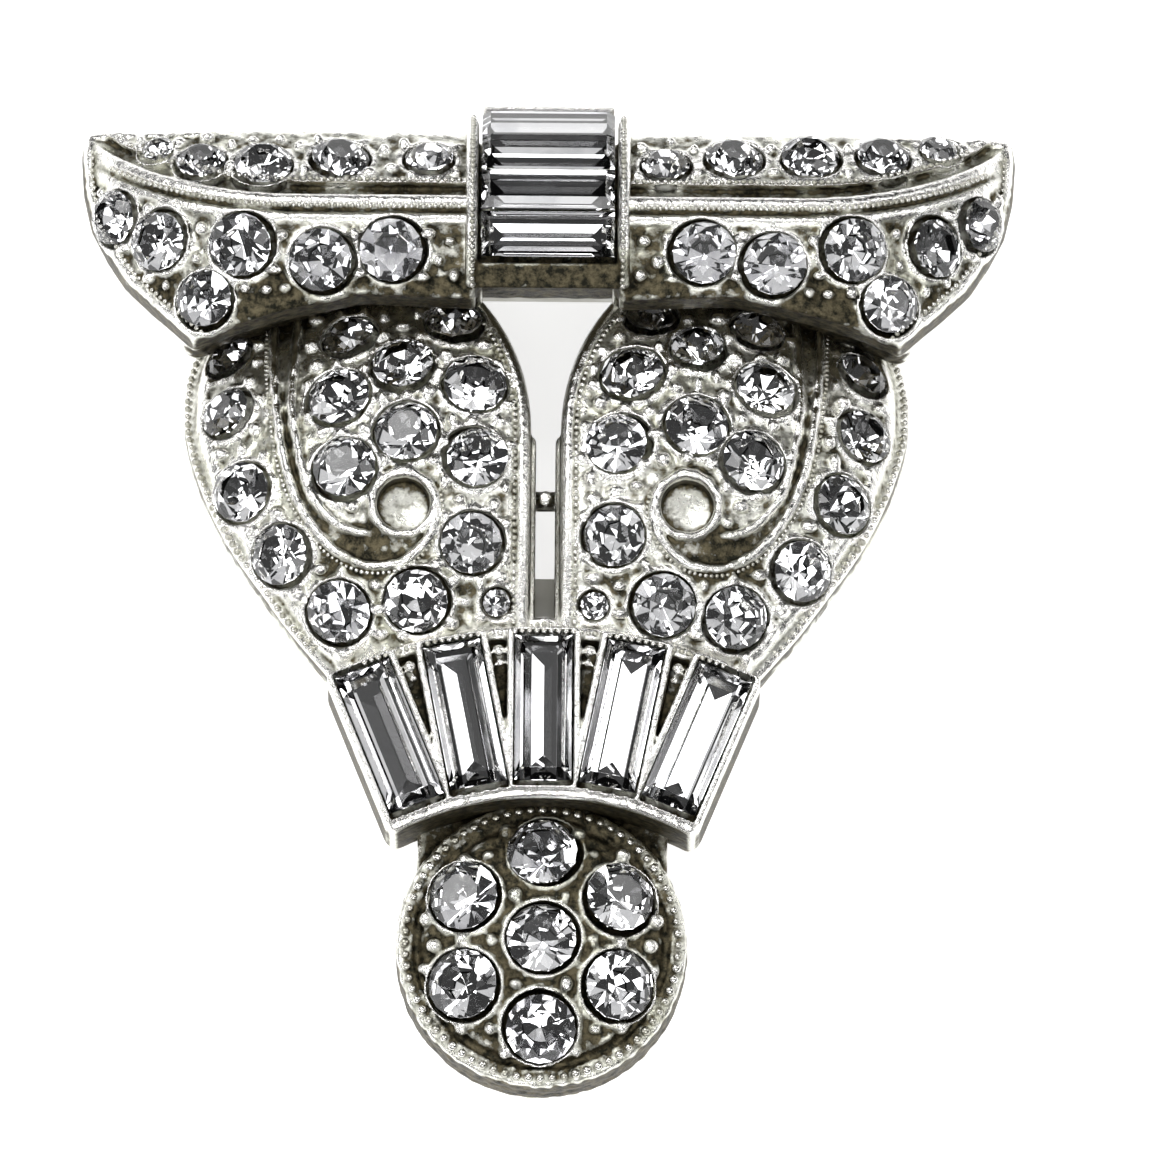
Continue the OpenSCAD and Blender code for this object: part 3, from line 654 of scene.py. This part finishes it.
LOBE_OUTER = smooth_curve(LOBE_EDGE)
INNER_ARC = [
    (INNER_CIRCLE[0] - INNER_CIRCLE[2] * math.cos(a), INNER_CIRCLE[1] + INNER_CIRCLE[2] * math.sin(a))
    for a in np.linspace(0, math.asin((LOBE_TOP_Y - INNER_CIRCLE[1]) / INNER_CIRCLE[2]), 16)
]
SLOT_EDGE = np.array([(SLOT_HALF_W, LOBE_FOOT_Y)] + INNER_ARC)
LOBE_OUTLINE = [tuple(p) for p in SLOT_EDGE] + [tuple(p) for p in LOBE_OUTER]
OUTER_LINE = smooth_curve(SCROLL_OUTER)
INNER_LINE = smooth_curve(SCROLL_INNER)
CHANNEL = smooth_curve(SCROLL + [(6.6, 2.15), (5.85, 2.65)])


def lobe_relief(x, y, edge):
    """Height of the lobes' raised lines and channels over the sphere, in plan."""
    outer, inner = line_distance(LOBE_OUTER, x, y), line_distance(SLOT_EDGE, x, y)
    # a bead inside the outer edge, the edge stepped down, and two beads along the slot
    relief = 0.24 * bump(outer - 0.9, 0.36) - 0.14 * ramp(outer, 0.5, 0.4)
    relief = np.maximum(relief, 0.34 * bump(inner - 0.32, 0.32) + 0.1 * bump(inner - 0.95, 0.25))
    # the scroll's channel, its two borders and the socket's collar
    groove = 0.34 * ramp(line_distance(CHANNEL, x, y), 0.5, 0.22)
    socket = np.hypot(x - SOCKET[0], y - SOCKET[1])
    groove = groove * ramp(socket, 1.5, 1.8)
    relief = relief - groove
    relief = np.maximum(relief, 0.36 * bump(line_distance(OUTER_LINE, x, y), 0.26) - 0.02)
    relief = np.maximum(relief, 0.34 * bump(line_distance(INNER_LINE, x, y), 0.24) - 0.02)
    relief = np.maximum(relief, 0.32 * bump(socket - 1.5, 0.24) - 0.02)
    field = ramp(-edge, 1.0, 1.6)
    return relief + field * (0.05 * lumps(11, 1.3, x, y) + 0.045 * lumps(12, 0.5, x, y))


def lobe_casting(side):
    """One lobe: a domed shell with its borders, scroll, stone seats and grains."""
    metal = Casting((0.3, LOBE_FOOT_Y, LOBE_BACK_Z), (17.4, LOBE_TOP_Y, 11.6), LARGE_GRID, SIDES[side])
    x, y, z = metal.x, metal.y, metal.z
    edge = outline_distance(LOBE_OUTLINE, x, y)
    across = np.sqrt((x - LOBE_CENTRE[0]) ** 2 + (y - LOBE_CENTRE[1]) ** 2 + (z - LOBE_CENTRE[2]) ** 2)
    field = smooth_max(across - LOBE_R - lobe_relief(x, y, edge), edge, 0.22)
    back = LOBE_R - LOBE_WALL + 0.08 * lumps(5, 1.6, x, y)
    field = smooth_max(field, back - across, 0.15)
    field = smooth_max(field, LOBE_BACK_Z - z, 0.15)
    low = (SLOT_HALF_W - SLOT_WALL, SLOT_WALL_Y[0], SLOT_WALL_Z)
    wall = box_field(x, y, z, low, (1.3, SLOT_WALL_Y[1], 9.6))
    metal.field = smooth_min(field, wall, 0.15)
    stones = LOBE_STONES[side]
    metal.add_seats(lobe_height, stones, 63)
    well = np.maximum(np.hypot(x - SOCKET[0], y - SOCKET[1]) - SOCKET_R,
                      lobe_height(*SOCKET) - SOCKET_DEPTH + 0.25 * np.hypot(x - SOCKET[0], y - SOCKET[1]) - z)
    metal.field = smooth_max(metal.field, -well, 0.12)
    # the metal gives way to the fan's stones
    under_fan = np.maximum(np.hypot(x, y - FAN_Y) - FAN_UPPER[1] + 0.3, FAN_Z - 1.5 - z)
    metal.field = smooth_max(metal.field, -under_fan, 0.1)

    def room(px, py):
        lines = np.minimum(line_distance(OUTER_LINE, px, py), line_distance(INNER_LINE, px, py))
        lines = np.minimum(lines, line_distance(CHANNEL, px, py) - 0.6) - 0.3
        well_room = np.hypot(px - SOCKET[0], py - SOCKET[1]) - 1.8
        rim = -outline_distance(LOBE_OUTLINE, px, py) - 0.75
        fan_room = np.hypot(px, py - FAN_Y) - FAN_UPPER[1] - 0.25
        return np.minimum(np.minimum(lines, well_room), np.minimum(rim, fan_room))

    metal.add_grains(lobe_height, gap_places(stones, room, (0, LOBE_FOOT_Y), (17.5, LOBE_TOP_Y)), 64)
    return metal


def ridge_distance(x, y):
    """The distance in plan from the wings' ridge, above zero towards the top."""
    slope = (ridge_line(x + 0.05) - ridge_line(x - 0.05)) / 0.1
    return (y - ridge_line(x)) / np.sqrt(1 + slope**2)


def wing_relief(x, y, edge):
    """Height of the lines that follow the wings' ridge and edge."""
    away = ridge_distance(x, y)
    fade = ramp(x, 21.8, 20.3)
    # the channel behind the ridge, the ridge's bead and the line before it
    channel = 0.5 * ramp(away, 0.42, 0.56) * ramp(away, 1.2, 1.06)
    relief = 0.2 * bump(away - 0.14, 0.34) - channel
    relief = relief + 0.16 * bump(away + 0.78, 0.28) - 0.14 * bump(away + 0.4, 0.12)
    field_drop = 0.1 * ramp(away, -1.02, -1.25) * ramp(edge, -0.35, -0.75)
    rim = 0.16 * bump(edge + 0.24, 0.22) * ramp(x, 14.5, 16.5)
    field = ramp(away, -0.9, -1.3) + ramp(away, 1.3, 1.6)
    cast_skin = 0.06 * lumps(21, 1.3, x, y) + 0.05 * lumps(22, 0.5, x, y)
    return relief * fade + rim - field_drop + field * cast_skin


WING_OUTLINE = [tuple(p) for p in WING_EDGE] + [(18, WING_TOP_Y + 0.1), (3.4, WING_TOP_Y)]


def wing_casting(side):
    """One wing: the front and top strips that meet at the ridge, and the wall under its lower edge."""
    metal = Casting((3.3, 12.3, 2.6), (22.3, 23.6, 12.5), LARGE_GRID, SIDES[side])
    x, y, z = metal.x, metal.y, metal.z
    edge = outline_distance(WING_OUTLINE, x, y)
    relief = wing_relief(x, y, edge)
    bend = (roll(x + 0.05) - roll(x - 0.05)) / 0.1
    front = (z - wing_front(x, y)) / np.sqrt(1 + math.tan(FRONT_LEAN) ** 2 + bend**2)
    top = (z - wing_top(x, y)) / np.sqrt(1 + math.tan(TOP_SLOPE) ** 2 + (TIP_SHARE * bend) ** 2)
    skin = smooth_max(front, top, 0.5) - relief
    body = smooth_max(smooth_max(skin, edge, 0.25), wing_height(x, y) - WING_WALL - z, 0.2)
    skirt_line = np.array(WING_EDGE[:5]) + [0, 1.2]
    skirt = smooth_max(line_distance(skirt_line, x, y) - 0.55, skin + 0.3, 0.1)
    skirt = smooth_max(skirt, 4 - z, 0.1) + 0.07 * lumps(23, 0.9, x, y, z)
    metal.field = smooth_min(body, skirt, 0.2)
    stones = FRONT_STONES + TOP_STONES[side]
    metal.add_seats(wing_height, stones, 61)

    def room(px, py):
        inside = -outline_distance(WING_OUTLINE, px, py) - 0.45
        away = ridge_distance(px, py)
        lines = np.where(away > 0, away - 1.3, -away - 1.15)
        return np.minimum(inside, lines)

    metal.add_grains(wing_height, gap_places(stones, room, (3.4, 12), (22.3, 23.6), widest=0.3), 62)
    return metal


def barrel_casting():
    """The barrel: floor, flanges, pockets and lip round its axis, on the bar."""
    metal = Casting((-4.6, 14.4, 4.6), (4.6, 24.9, 12.7), BARREL_GRID)
    x, y, z = metal.x, metal.y, metal.z
    r = np.hypot(y - BARREL_Y, z - BARREL_Z)
    angle = np.degrees(np.arctan2(y - BARREL_Y, z - BARREL_Z))

    def arc(r_in, r_out, start, end, half_l, round_r=0.2):
        turn = np.maximum(start - angle, angle - end) * math.radians(1) * r
        ring = smooth_max(np.maximum(r_in - r, r - r_out), turn, round_r)
        return smooth_max(ring, np.abs(x) - half_l, round_r)

    field = arc(BARREL_FLOOR_R, BARREL_GIRDLE_R, BARREL_START, BARREL_END, 3.6)
    for i, angle_i in enumerate(BARREL_ANGLES):
        a = math.radians(angle_i)
        out = (y - BARREL_Y) * math.sin(a) + (z - BARREL_Z) * math.cos(a)
        side = np.abs((y - BARREL_Y) * math.cos(a) - (z - BARREL_Z) * math.sin(a))
        half_w = FRONT_POCKET_HALF_W if i == 0 else POCKET_HALF_W
        pocket = np.maximum(np.maximum(side - half_w, np.abs(x) - POCKET_HALF_L), POCKET_FLOOR_R - out)
        field = smooth_max(field, -pocket, 0.06)
    middle = (FLANGE_X[0] + FLANGE_X[1]) / 2
    flange = smooth_max(np.abs(np.abs(x) - middle) - (FLANGE_X[1] - FLANGE_X[0]) / 2,
                        np.maximum(FLANGE_R[0] - r, r - FLANGE_R[1]), 0.35)
    turn = np.maximum(BARREL_START - angle, angle - BARREL_END) * math.radians(1) * r
    flange = smooth_max(flange, turn, 0.3)
    lip = arc(BARREL_FLOOR_R, BARREL_TABLE_R, BARREL_LIP[0], BARREL_LIP[1], BARREL_L / 2, 0.12)
    tail = arc(BARREL_FLOOR_R, 6.8, 40, BARREL_LIP[1], BARREL_L / 2, 0.12)
    bar = box_field(x, y, z, (-BAR_HALF_L, BAR_Y[0], BAR_Z), (BAR_HALF_L, BAR_Y[1], 12), 0.25)
    bar = np.maximum(bar, r - BARREL_FLOOR_R - 0.3) + 0.03 * lumps(31, 1.3, x, y, z)
    for part in (flange, lip, tail, bar):
        field = smooth_min(field, part, 0.12)
    metal.field = field
    return metal


def fan_casting():
    """The fan: five walled channels between two curved edges, on a deep foot."""
    metal = Casting((-10, -12.2, FAN_FOOT_Z), (10, -1, 10.8), LARGE_GRID)
    x, y, z = metal.x, metal.y, metal.z
    r = np.hypot(x, y - FAN_Y)
    angle = np.abs(np.degrees(np.arctan2(x, y - FAN_Y)))

    def band(r_in, r_out, top, reach, round_r=0.15):
        ends = (angle - reach) * math.radians(1) * r
        plan = smooth_max(np.maximum(r_in - r, r - r_out), ends, round_r)
        return smooth_max(smooth_max(plan, z - top, round_r), FAN_FOOT_Z - z, 0.1)

    texture = 0.03 * lumps(41, 0.9, x, y, z)
    field = band(FAN_R - 3.5, FAN_R + 3.5, FAN_BASE_Z, FAN_UPPER_REACH) + texture
    field = smooth_min(field, band(*FAN_UPPER, FAN_ARC_Z + 0.05, FAN_UPPER_REACH, 0.3), 0.12)
    field = smooth_min(field, band(*FAN_LOWER, FAN_ARC_Z, FAN_LOWER_REACH, 0.35), 0.12)
    cells = []
    for i in range(1, FAN_COUNT + 1):
        a = fan_angle(i)
        out = x * math.sin(a) + (y - FAN_Y) * math.cos(a) - FAN_R
        side = np.abs(x * math.cos(a) - (y - FAN_Y) * math.sin(a))
        cells.append((out, side))
        plan = smooth_max(side - BAGUETTE_W / 2 - FAN_WALL, np.abs(out) - BAGUETTE_L / 2 - FAN_WALL, 0.15)
        wall = smooth_max(smooth_max(plan, z - FAN_Z - 0.12, 0.2), FAN_FOOT_Z - z, 0.1)
        field = smooth_min(field, wall, 0.06)
    for out, side in cells:
        pocket = np.maximum(side - BAGUETTE_W / 2 - 0.07, np.abs(out) - BAGUETTE_L / 2 - 0.27)
        field = smooth_max(field, -np.maximum(pocket, FAN_Z - 1.4 - z), 0.05)
    metal.field = field
    for i in range(1, FAN_COUNT):
        a = (fan_angle(i) + fan_angle(i + 1)) / 2
        for out, size in ((21.9, 0.3), (21.3, 0.22)):
            metal.add_grain((out * math.sin(a), FAN_Y + out * math.cos(a), FAN_Z - 0.2), size)
    return metal


def disc_casting():
    """The domed disc with its rim, and the neck that joins it to the fan."""
    metal = Casting((-7, -23.1, DISC_FOOT_Z), (7, -9.4, 9.4), LARGE_GRID)
    x, y, z = metal.x, metal.y, metal.z
    r = np.hypot(x, y - DISC_Y)
    dome = np.sqrt(x * x + (y - DISC_Y) ** 2 + (z - DISC_CENTRE_Z) ** 2) - DISC_DOME_R
    dome = dome - 0.05 * lumps(51, 1.2, x, y) - 0.035 * lumps(52, 0.55, x, y) + 0.25 * bump(r - 5.85, 0.22)
    plate = smooth_max(smooth_max(dome, r - DISC_R + 0.3, 0.1), DISC_FOOT_Z - z, 0.1)
    rim = smooth_max(r - DISC_R, DISC_R - DISC_RIM_W - r, 0.2)
    rim = smooth_max(smooth_max(rim, z - DISC_RIM_TOP_Z, 0.3), DISC_FOOT_Z - z, 0.1)
    rim = rim + 0.04 * lumps(53, 0.9, x, y, z)
    neck = box_field(x, y, z, (-NECK_HALF_W, NECK_Y[0], DISC_FOOT_Z), (NECK_HALF_W, NECK_Y[1], NECK_Z))
    field = smooth_min(smooth_min(plate, rim, 0.1), neck, 0.1)
    under = np.maximum(r - DISC_R + DISC_RIM_W + 1, z - DISC_RIM_Z + 1.9)
    metal.field = smooth_max(field, -under, 0.15)
    stones = disc_places()
    metal.add_seats(disc_height, stones, 65)

    def room(px, py):
        return 5.8 - np.hypot(px, py - DISC_Y)

    metal.add_grains(disc_height, gap_places(stones, room, (-7, -23), (7, -9), spacing=1.25), 66)
    return metal


def flat_at(z):
    return lambda x, y: z


def slot_casting():
    """The bridge over the slot with its round boss, and the small hood at the slot's foot."""
    metal = Casting((-2.2, -3.2, 7.2), (2.2, 5.9, 10.4), SLOT_GRID)
    x, y, z = metal.x, metal.y, metal.z
    half = BRIDGE_L / 2
    low, high = (-0.85, BRIDGE_Y - half, BRIDGE_Z[0]), (0.85, BRIDGE_Y + half, BRIDGE_Z[1])
    bridge = box_field(x, y, z, low, high, 0.25)
    boss = smooth_max(np.hypot(x, y - BRIDGE_Y) - 0.42, np.abs(z - BRIDGE_Z[1]) - 0.3, 0.25)
    crest = -1.15 - 0.22 * x * x
    hood = smooth_max(np.abs(y - crest) - 0.45, np.abs(x) - 1.75, 0.2)
    hood = smooth_max(hood, np.maximum(8.0 - z, z - 9.75 + 0.25 * x * x), 0.3)
    metal.field = smooth_min(smooth_min(bridge, boss, 0.1), hood, 0.1)
    return metal


def wing_beads(pile, mirror):
    """Milgrain along a wing's ridge lines and outer edge."""
    xs = np.linspace(4.2, 20.6, 60)
    for away, r in ((1.28, 0.155), (-0.22, 0.13)):
        line = beside(np.stack([xs, ridge_line(xs)], axis=1), away)
        add_beads(pile, line, wing_height, r, lift=0.06, mirror=mirror)
    outer = beside(smooth_curve(WING_EDGE[4:11]), 0.55)
    add_beads(pile, outer, wing_height, 0.14, lift=0.02, mirror=mirror)


def lobe_beads(pile, mirror):
    """Milgrain along a lobe's two edges and along the scroll."""
    add_beads(pile, beside(LOBE_OUTER, -0.2)[2:-4], lobe_height, 0.18, pitch=0.43, lift=0.05, mirror=mirror)
    slot = beside(resample(SLOT_EDGE, 0.5), -0.78)
    add_beads(pile, slot[6:], lobe_height, 0.15, lift=0.12, mirror=mirror)
    add_beads(pile, beside(OUTER_LINE, 0.3)[:44], lobe_height, 0.12, lift=0.08, mirror=mirror)


def barrel_beads(pile):
    """Milgrain along the barrel's two flanges."""
    for sign in SIDES.values():
        for angle in np.arange(BARREL_START + 1, BARREL_END, 2.1):
            a = math.radians(angle)
            place = on_barrel(sign * FLANGE_BEADS_X, FLANGE_BEADS_R, a)
            size = 0.15 * rng.uniform(0.85, 1.15)
            pile.add(*GRAIN, place, Euler((-a, 0, 0)).to_matrix() @ Matrix.Scale(size, 3))


def round_beads(pile):
    """Beads round the disc's rim, along the fan's upper edge and on the hood."""
    rim = arc_points(DISC_BEADS_R, DISC_Y, np.linspace(0.0, 2 * math.pi, 90))
    add_beads(pile, rim, flat_at(DISC_RIM_TOP_Z), 0.235, pitch=0.56, lift=0.02)
    reach = math.radians(FAN_UPPER_REACH - 0.6)
    top = arc_points(FAN_BEADS_R, FAN_Y, np.linspace(-reach, reach, 90))
    add_beads(pile, top, flat_at(FAN_ARC_Z + 0.04), 0.16)
    hood = [(x, -1.1 - 0.22 * x * x) for x in np.linspace(-1.5, 1.5, 12)]
    add_beads(pile, hood, lambda px, py: 9.72 - 0.25 * px * px, 0.15)


# Materials
class Paint:
    """A new material, its shader, and short ways to add nodes to it."""

    def __init__(self, name):
        self.made = bpy.data.materials.new(name)
        self.made.use_nodes = True
        self.tree = self.made.node_tree
        self.shader = self.tree.nodes["Principled BSDF"]
        self.spot = self.node("TexCoord").outputs["Object"]

    def node(self, kind, inputs=None, **settings):
        """A node with given settings, values and links."""
        new = self.tree.nodes.new("ShaderNode" + kind)
        for key, value in settings.items():
            setattr(new, key, value)
        for key, value in (inputs or {}).items():
            self.fill(new.inputs[key], value)
        return new

    def fill(self, socket, value):
        """Links a node's input to another socket, or sets its value."""
        if isinstance(value, bpy.types.NodeSocket):
            self.tree.links.new(value, socket)
        else:
            socket.default_value = value

    def put(self, name, value):
        """Sets or links one of the shader's inputs."""
        self.fill(self.shader.inputs[name], value)

    def noise(self, scale, detail, roughness=0.5, vector=None):
        inputs = {"Vector": vector or self.spot, "Scale": scale, "Detail": detail, "Roughness": roughness}
        return self.node("TexNoise", inputs).outputs["Fac"]

    def remap(self, value, start=0.0, end=1.0, low=0.0, high=1.0):
        """Carries start to end over to low to high, and stays between them."""
        inputs = {"Value": value, "From Min": start, "From Max": end, "To Min": low, "To Max": high}
        return self.node("MapRange", inputs).outputs[0]

    def mix(self, share, a, b):
        """Colour a where share is 0 and colour b where it is 1."""
        return self.node("Mix", {"Factor": share, "A": a, "B": b}, data_type="RGBA").outputs["Result"]

    def calculate(self, kind, a, b):
        return self.node("Math", {0: a, 1: b}, operation=kind).outputs[0]

    def colour(self, red, green, blue):
        return self.node("CombineColor", {"Red": red, "Green": green, "Blue": blue}).outputs[0]

    def bump(self, height, strength, distance):
        """Fine relief of the surface, with its depth in metres."""
        inputs = {"Height": height, "Strength": strength, "Distance": distance}
        self.put("Normal", self.node("Bump", inputs).outputs["Normal"])


def cast_metal():
    """Worn silver-tone casting: bright on rubbed edges and where light is painted, grey-green and brown where
    dirt lies and where shade is painted.
    """
    paint = Paint("Cast metal")
    hollow = paint.node("Attribute", attribute_name="hollow").outputs["Fac"]
    cloud, patch, speck = paint.noise(520, 6, 0.65), paint.noise(140, 3), paint.noise(2300, 5, 0.7)
    wander = paint.calculate("MULTIPLY", paint.calculate("ADD", cloud, speck), 0.4)
    depth = paint.calculate("ADD", hollow, wander)
    # the dark mix stands for dirt in the recesses and for painted shade on side walls, under edges and in the
    # patches
    dirt_and_shade = paint.remap(depth, 0.9, 1.02)
    worn = paint.mix(paint.remap(patch, 0.42, 0.7), (0.8, 0.8, 0.73, 1), (0.6, 0.6, 0.48, 1))
    grime_and_shade = paint.mix(paint.remap(speck, 0.4, 0.62), (0.01, 0.01, 0.005, 1), (0.13, 0.11, 0.065, 1))
    # bright where the hollow measure is low: edges rubbed bright, and painted light where patches lower it
    rubbed_and_painted_light = paint.mix(paint.remap(hollow, 0.5, 0.38), worn, (0.9, 0.89, 0.86, 1))
    paint.put("Base Color", paint.mix(dirt_and_shade, rubbed_and_painted_light, grime_and_shade))
    paint.put("Roughness", paint.remap(depth, 0.75, 1.1, 0.17, 0.5))
    paint.put("Metallic", paint.remap(dirt_and_shade, low=1.0, high=0.8))
    grit = paint.noise(4200, 4, 0.65)
    pock = paint.node("TexVoronoi", {"Vector": paint.spot, "Scale": 2000}, feature="SMOOTH_F1")
    paint.bump(paint.calculate("ADD", grit, pock.outputs["Distance"]), 0.7, 0.00008)
    return paint.made


def bead_metal():
    """The same plating on the milgrain, rubbed bright."""
    paint = Paint("Milgrain metal")
    patch = paint.noise(700, 4)
    rub = paint.remap(patch, 0.38, 0.62)
    paint.put("Base Color", paint.mix(rub, (0.5, 0.49, 0.42, 1), (0.9, 0.89, 0.86, 1)))
    paint.put("Roughness", paint.remap(patch, low=0.4, high=0.14))
    paint.put("Metallic", 1.0)
    paint.bump(paint.noise(3500, 3), 0.25, 0.00004)
    return paint.made


def clip_metal():
    """Dull sheet metal with fine drawn lines and stains."""
    paint = Paint("Clip metal")
    along = paint.node("Mapping", {"Vector": paint.spot, "Scale": (1600, 90, 1600)}).outputs[0]
    lines = paint.noise(1.0, 4, vector=along)
    rub = paint.remap(paint.noise(160, 5), 0.4, 0.68)
    paint.put("Base Color", paint.mix(rub, (0.6, 0.6, 0.57, 1), (0.33, 0.31, 0.25, 1)))
    paint.put("Metallic", 1.0)
    paint.put("Roughness", paint.remap(lines, low=0.28, high=0.55))
    paint.bump(lines, 0.2, 0.00003)
    return paint.made


def glass():
    """Clear cut glass with a trace of wear on its surface."""
    paint = Paint("Cut glass")
    haze = paint.noise(900, 3)
    paint.put("Roughness", paint.remap(haze, 0.55, 0.8, 0.0, 0.06))
    tint = paint.remap(haze, low=0.97, high=1.0)
    paint.put("Base Color", paint.colour(tint, tint, 1.0))
    paint.put("Transmission Weight", 1.0)
    paint.put("IOR", 1.56)
    return paint.made


def foil():
    """The silver foil on the back of the stones."""
    paint = Paint("Foil")
    dull = paint.remap(paint.noise(420, 4), 0.5, 0.75)
    paint.put("Base Color", paint.mix(dull, (0.95, 0.95, 0.95, 1), (0.7, 0.7, 0.72, 1)))
    paint.put("Metallic", 1.0)
    paint.put("Roughness", paint.remap(dull, low=0.02, high=0.1))
    return paint.made


def floor_white():
    """A pale table top, lit a little from behind as a light table is."""
    paint = Paint("Pale floor")
    tone = paint.remap(paint.noise(40, 3), low=0.9, high=0.92)
    paint.put("Base Color", paint.colour(tone, tone, tone))
    paint.put("Roughness", 0.9)
    paint.put("Emission Color", (1, 1, 1, 1))
    paint.put("Emission Strength", 0.75)
    return paint.made


MATERIALS = {
    "cast": cast_metal(),
    "bead": bead_metal(),
    "clip": clip_metal(),
    "glass": glass(),
    "foil": foil(),
    "floor": floor_white(),
}


# Patches made darker (amount above zero) or lighter (below zero) in the metal's colour: x, y, reach and how
# much. Many are painted shade or painted light, named at each table.
# painted shade under the wing at 12.7, 14.9; painted light at 12.4, 12.2 and 12.2, 9.6, where the wing's
# shadow falls; the whole lobe made a little lighter by the patch at 9, 7
LOBE_DIRT_AND_PAINTED_LIGHT = [
    (8.3, 1.0, 3.6, 0.14), (3.6, 0.8, 2.2, 0.1), (12.7, 14.9, 2.2, 0.14), (16.2, 3.4, 3, -0.04),
    (9, 7, 34, -0.05), (12.4, 12.2, 1.9, -0.1), (12.2, 9.6, 1.9, -0.1), (8.6, 2.6, 1.6, 0.08),
]
# painted shade near the wings' lower edges, and painted light at the tip, 19.6, 22
WING_PAINTED_LIGHT_AND_SHADE = [(12.9, 14.3, 2.4, 0.12), (5, 15, 2.6, 0.06), (19.6, 22, 3, -0.08), (18.2, 15.2, 1.6, 0.08)]
# painted shade along the wall under each wing's lower edge
WING_PAINTED_LIGHT_AND_SHADE += [(x, y + 0.2, 1.2, 0.14) for x, y in resample(WING_EDGE[:5], 0.9)]
# painted shade on the bar's front wall
BARREL_PAINTED_SHADE = [(x, 14.8, 2.6, 0.24) for x in (-3.2, -1.1, 1.1, 3.2)]
# painted shade on the neck at 0, -10.6; the whole disc made a little darker
DISC_DIRT_AND_PAINTED_SHADE = [(0, DISC_Y, 14, 0.15), (0, -10.6, 4.5, 0.2)]


def build_casting():
    """Every part of the cast front, and the milgrain on it."""
    cast = MATERIALS["cast"]
    for side in SIDES:
        cast_piece(f"{side}_lobe_casting", lobe_casting(side), cast, LOBE_DIRT_AND_PAINTED_LIGHT, LOBE_KEEP)
        cast_piece(f"{side}_wing_casting", wing_casting(side), cast, WING_PAINTED_LIGHT_AND_SHADE, WING_KEEP)
    cast_piece("barrel_casting", barrel_casting(), cast, BARREL_PAINTED_SHADE)
    cast_piece("fan_casting", fan_casting(), cast)
    cast_piece("disc_casting", disc_casting(), cast, DISC_DIRT_AND_PAINTED_SHADE)
    cast_piece("slot_casting", slot_casting(), cast)
    pile = Pile()
    for sign in SIDES.values():
        wing_beads(pile, sign < 0)
        lobe_beads(pile, sign < 0)
    barrel_beads(pile)
    round_beads(pile)
    beads = new_object("milgrain", pile.points, pile.faces, [MATERIALS["bead"]])
    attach(beads, "root")
    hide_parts("setting")


def finish_clip():
    """The clip keeps its CAD mesh, with worn edges and its own material."""
    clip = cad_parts["clip"]
    clip.data.materials.clear()
    clip.data.materials.append(MATERIALS["clip"])
    worn = clip.modifiers.new("Worn edges", "BEVEL")
    worn.width, worn.segments, worn.limit_method = 0.12 * MM, 2, "ANGLE"


# The soft lights: place, width, height and power
LIGHTS = {
    "key": ((-0.2, 0.24, 0.42), 0.3, 0.22, 1.25),
    "right": ((0.33, 0.1, 0.3), 0.2, 0.24, 0.45),
    "front": ((0.02, -0.32, 0.37), 0.42, 0.18, 1.05),
    "left": ((-0.4, -0.1, 0.24), 0.12, 0.24, 0.4),
    "ceiling": ((0.04, 0.13, 0.6), 0.5, 0.34, 0.36),
    "upper": ((0.03, 0.24, 0.5), 0.12, 0.09, 0.14),
    "lower": ((-0.09, -0.12, 0.55), 0.12, 0.1, 0.09),
}


def build_floor():
    mesh = bpy.data.meshes.new("floor")
    half = 0.6
    corners = [(-half, -half, 0), (half, -half, 0), (half, half, 0), (-half, half, 0)]
    mesh.from_pydata(corners, [], [(0, 1, 2, 3)])
    mesh.materials.append(MATERIALS["floor"])
    floor = bpy.data.objects.new("floor", mesh)
    bpy.context.scene.collection.objects.link(floor)


def build_lights():
    """A dim grey world and soft lights, all aimed at the piece."""
    world = bpy.data.worlds.new("Studio")
    world.use_nodes = True
    world.node_tree.nodes["Background"].inputs["Color"].default_value = (0.5, 0.5, 0.5, 1)
    world.node_tree.nodes["Background"].inputs["Strength"].default_value = 0.1
    bpy.context.scene.world = world
    target = Vector((0, 0, 8 * MM))
    for name, (place, width, height, power) in LIGHTS.items():
        data = bpy.data.lights.new(name, "AREA")
        data.shape, data.size, data.size_y, data.energy = "RECTANGLE", width, height, power
        lamp = bpy.data.objects.new(name, data)
        lamp.location = place
        lamp.rotation_euler = (target - Vector(place)).to_track_quat("-Z", "Y").to_euler()
        bpy.context.scene.collection.objects.link(lamp)


def build_camera():
    """Azimuth 0, elevation 77 degrees, with the long lens of a catalogue photograph."""
    view_w, distance = 54.34 * MM, 1.0
    tilt, roll_angle = math.radians(13), math.radians(0.5)
    target = Vector((1.476, 1.162 - MID_Y, 10)) * MM
    back = Vector((0, -math.sin(tilt), math.cos(tilt)))
    data = bpy.data.cameras.new("camera")
    data.sensor_width = 36
    data.lens = data.sensor_width * distance / view_w
    data.clip_end = 10
    camera = bpy.data.objects.new("camera", data)
    camera.location = target + back * distance
    camera.rotation_euler = (Matrix.Rotation(tilt, 3, "X") @ Matrix.Rotation(roll_angle, 3, "Z")).to_euler()
    bpy.context.scene.collection.objects.link(camera)
    bpy.context.scene.camera = camera


build_casting()
build_stones()
finish_clip()
build_floor()
build_lights()
build_camera()
bpy.context.scene.view_settings.view_transform = "Standard"
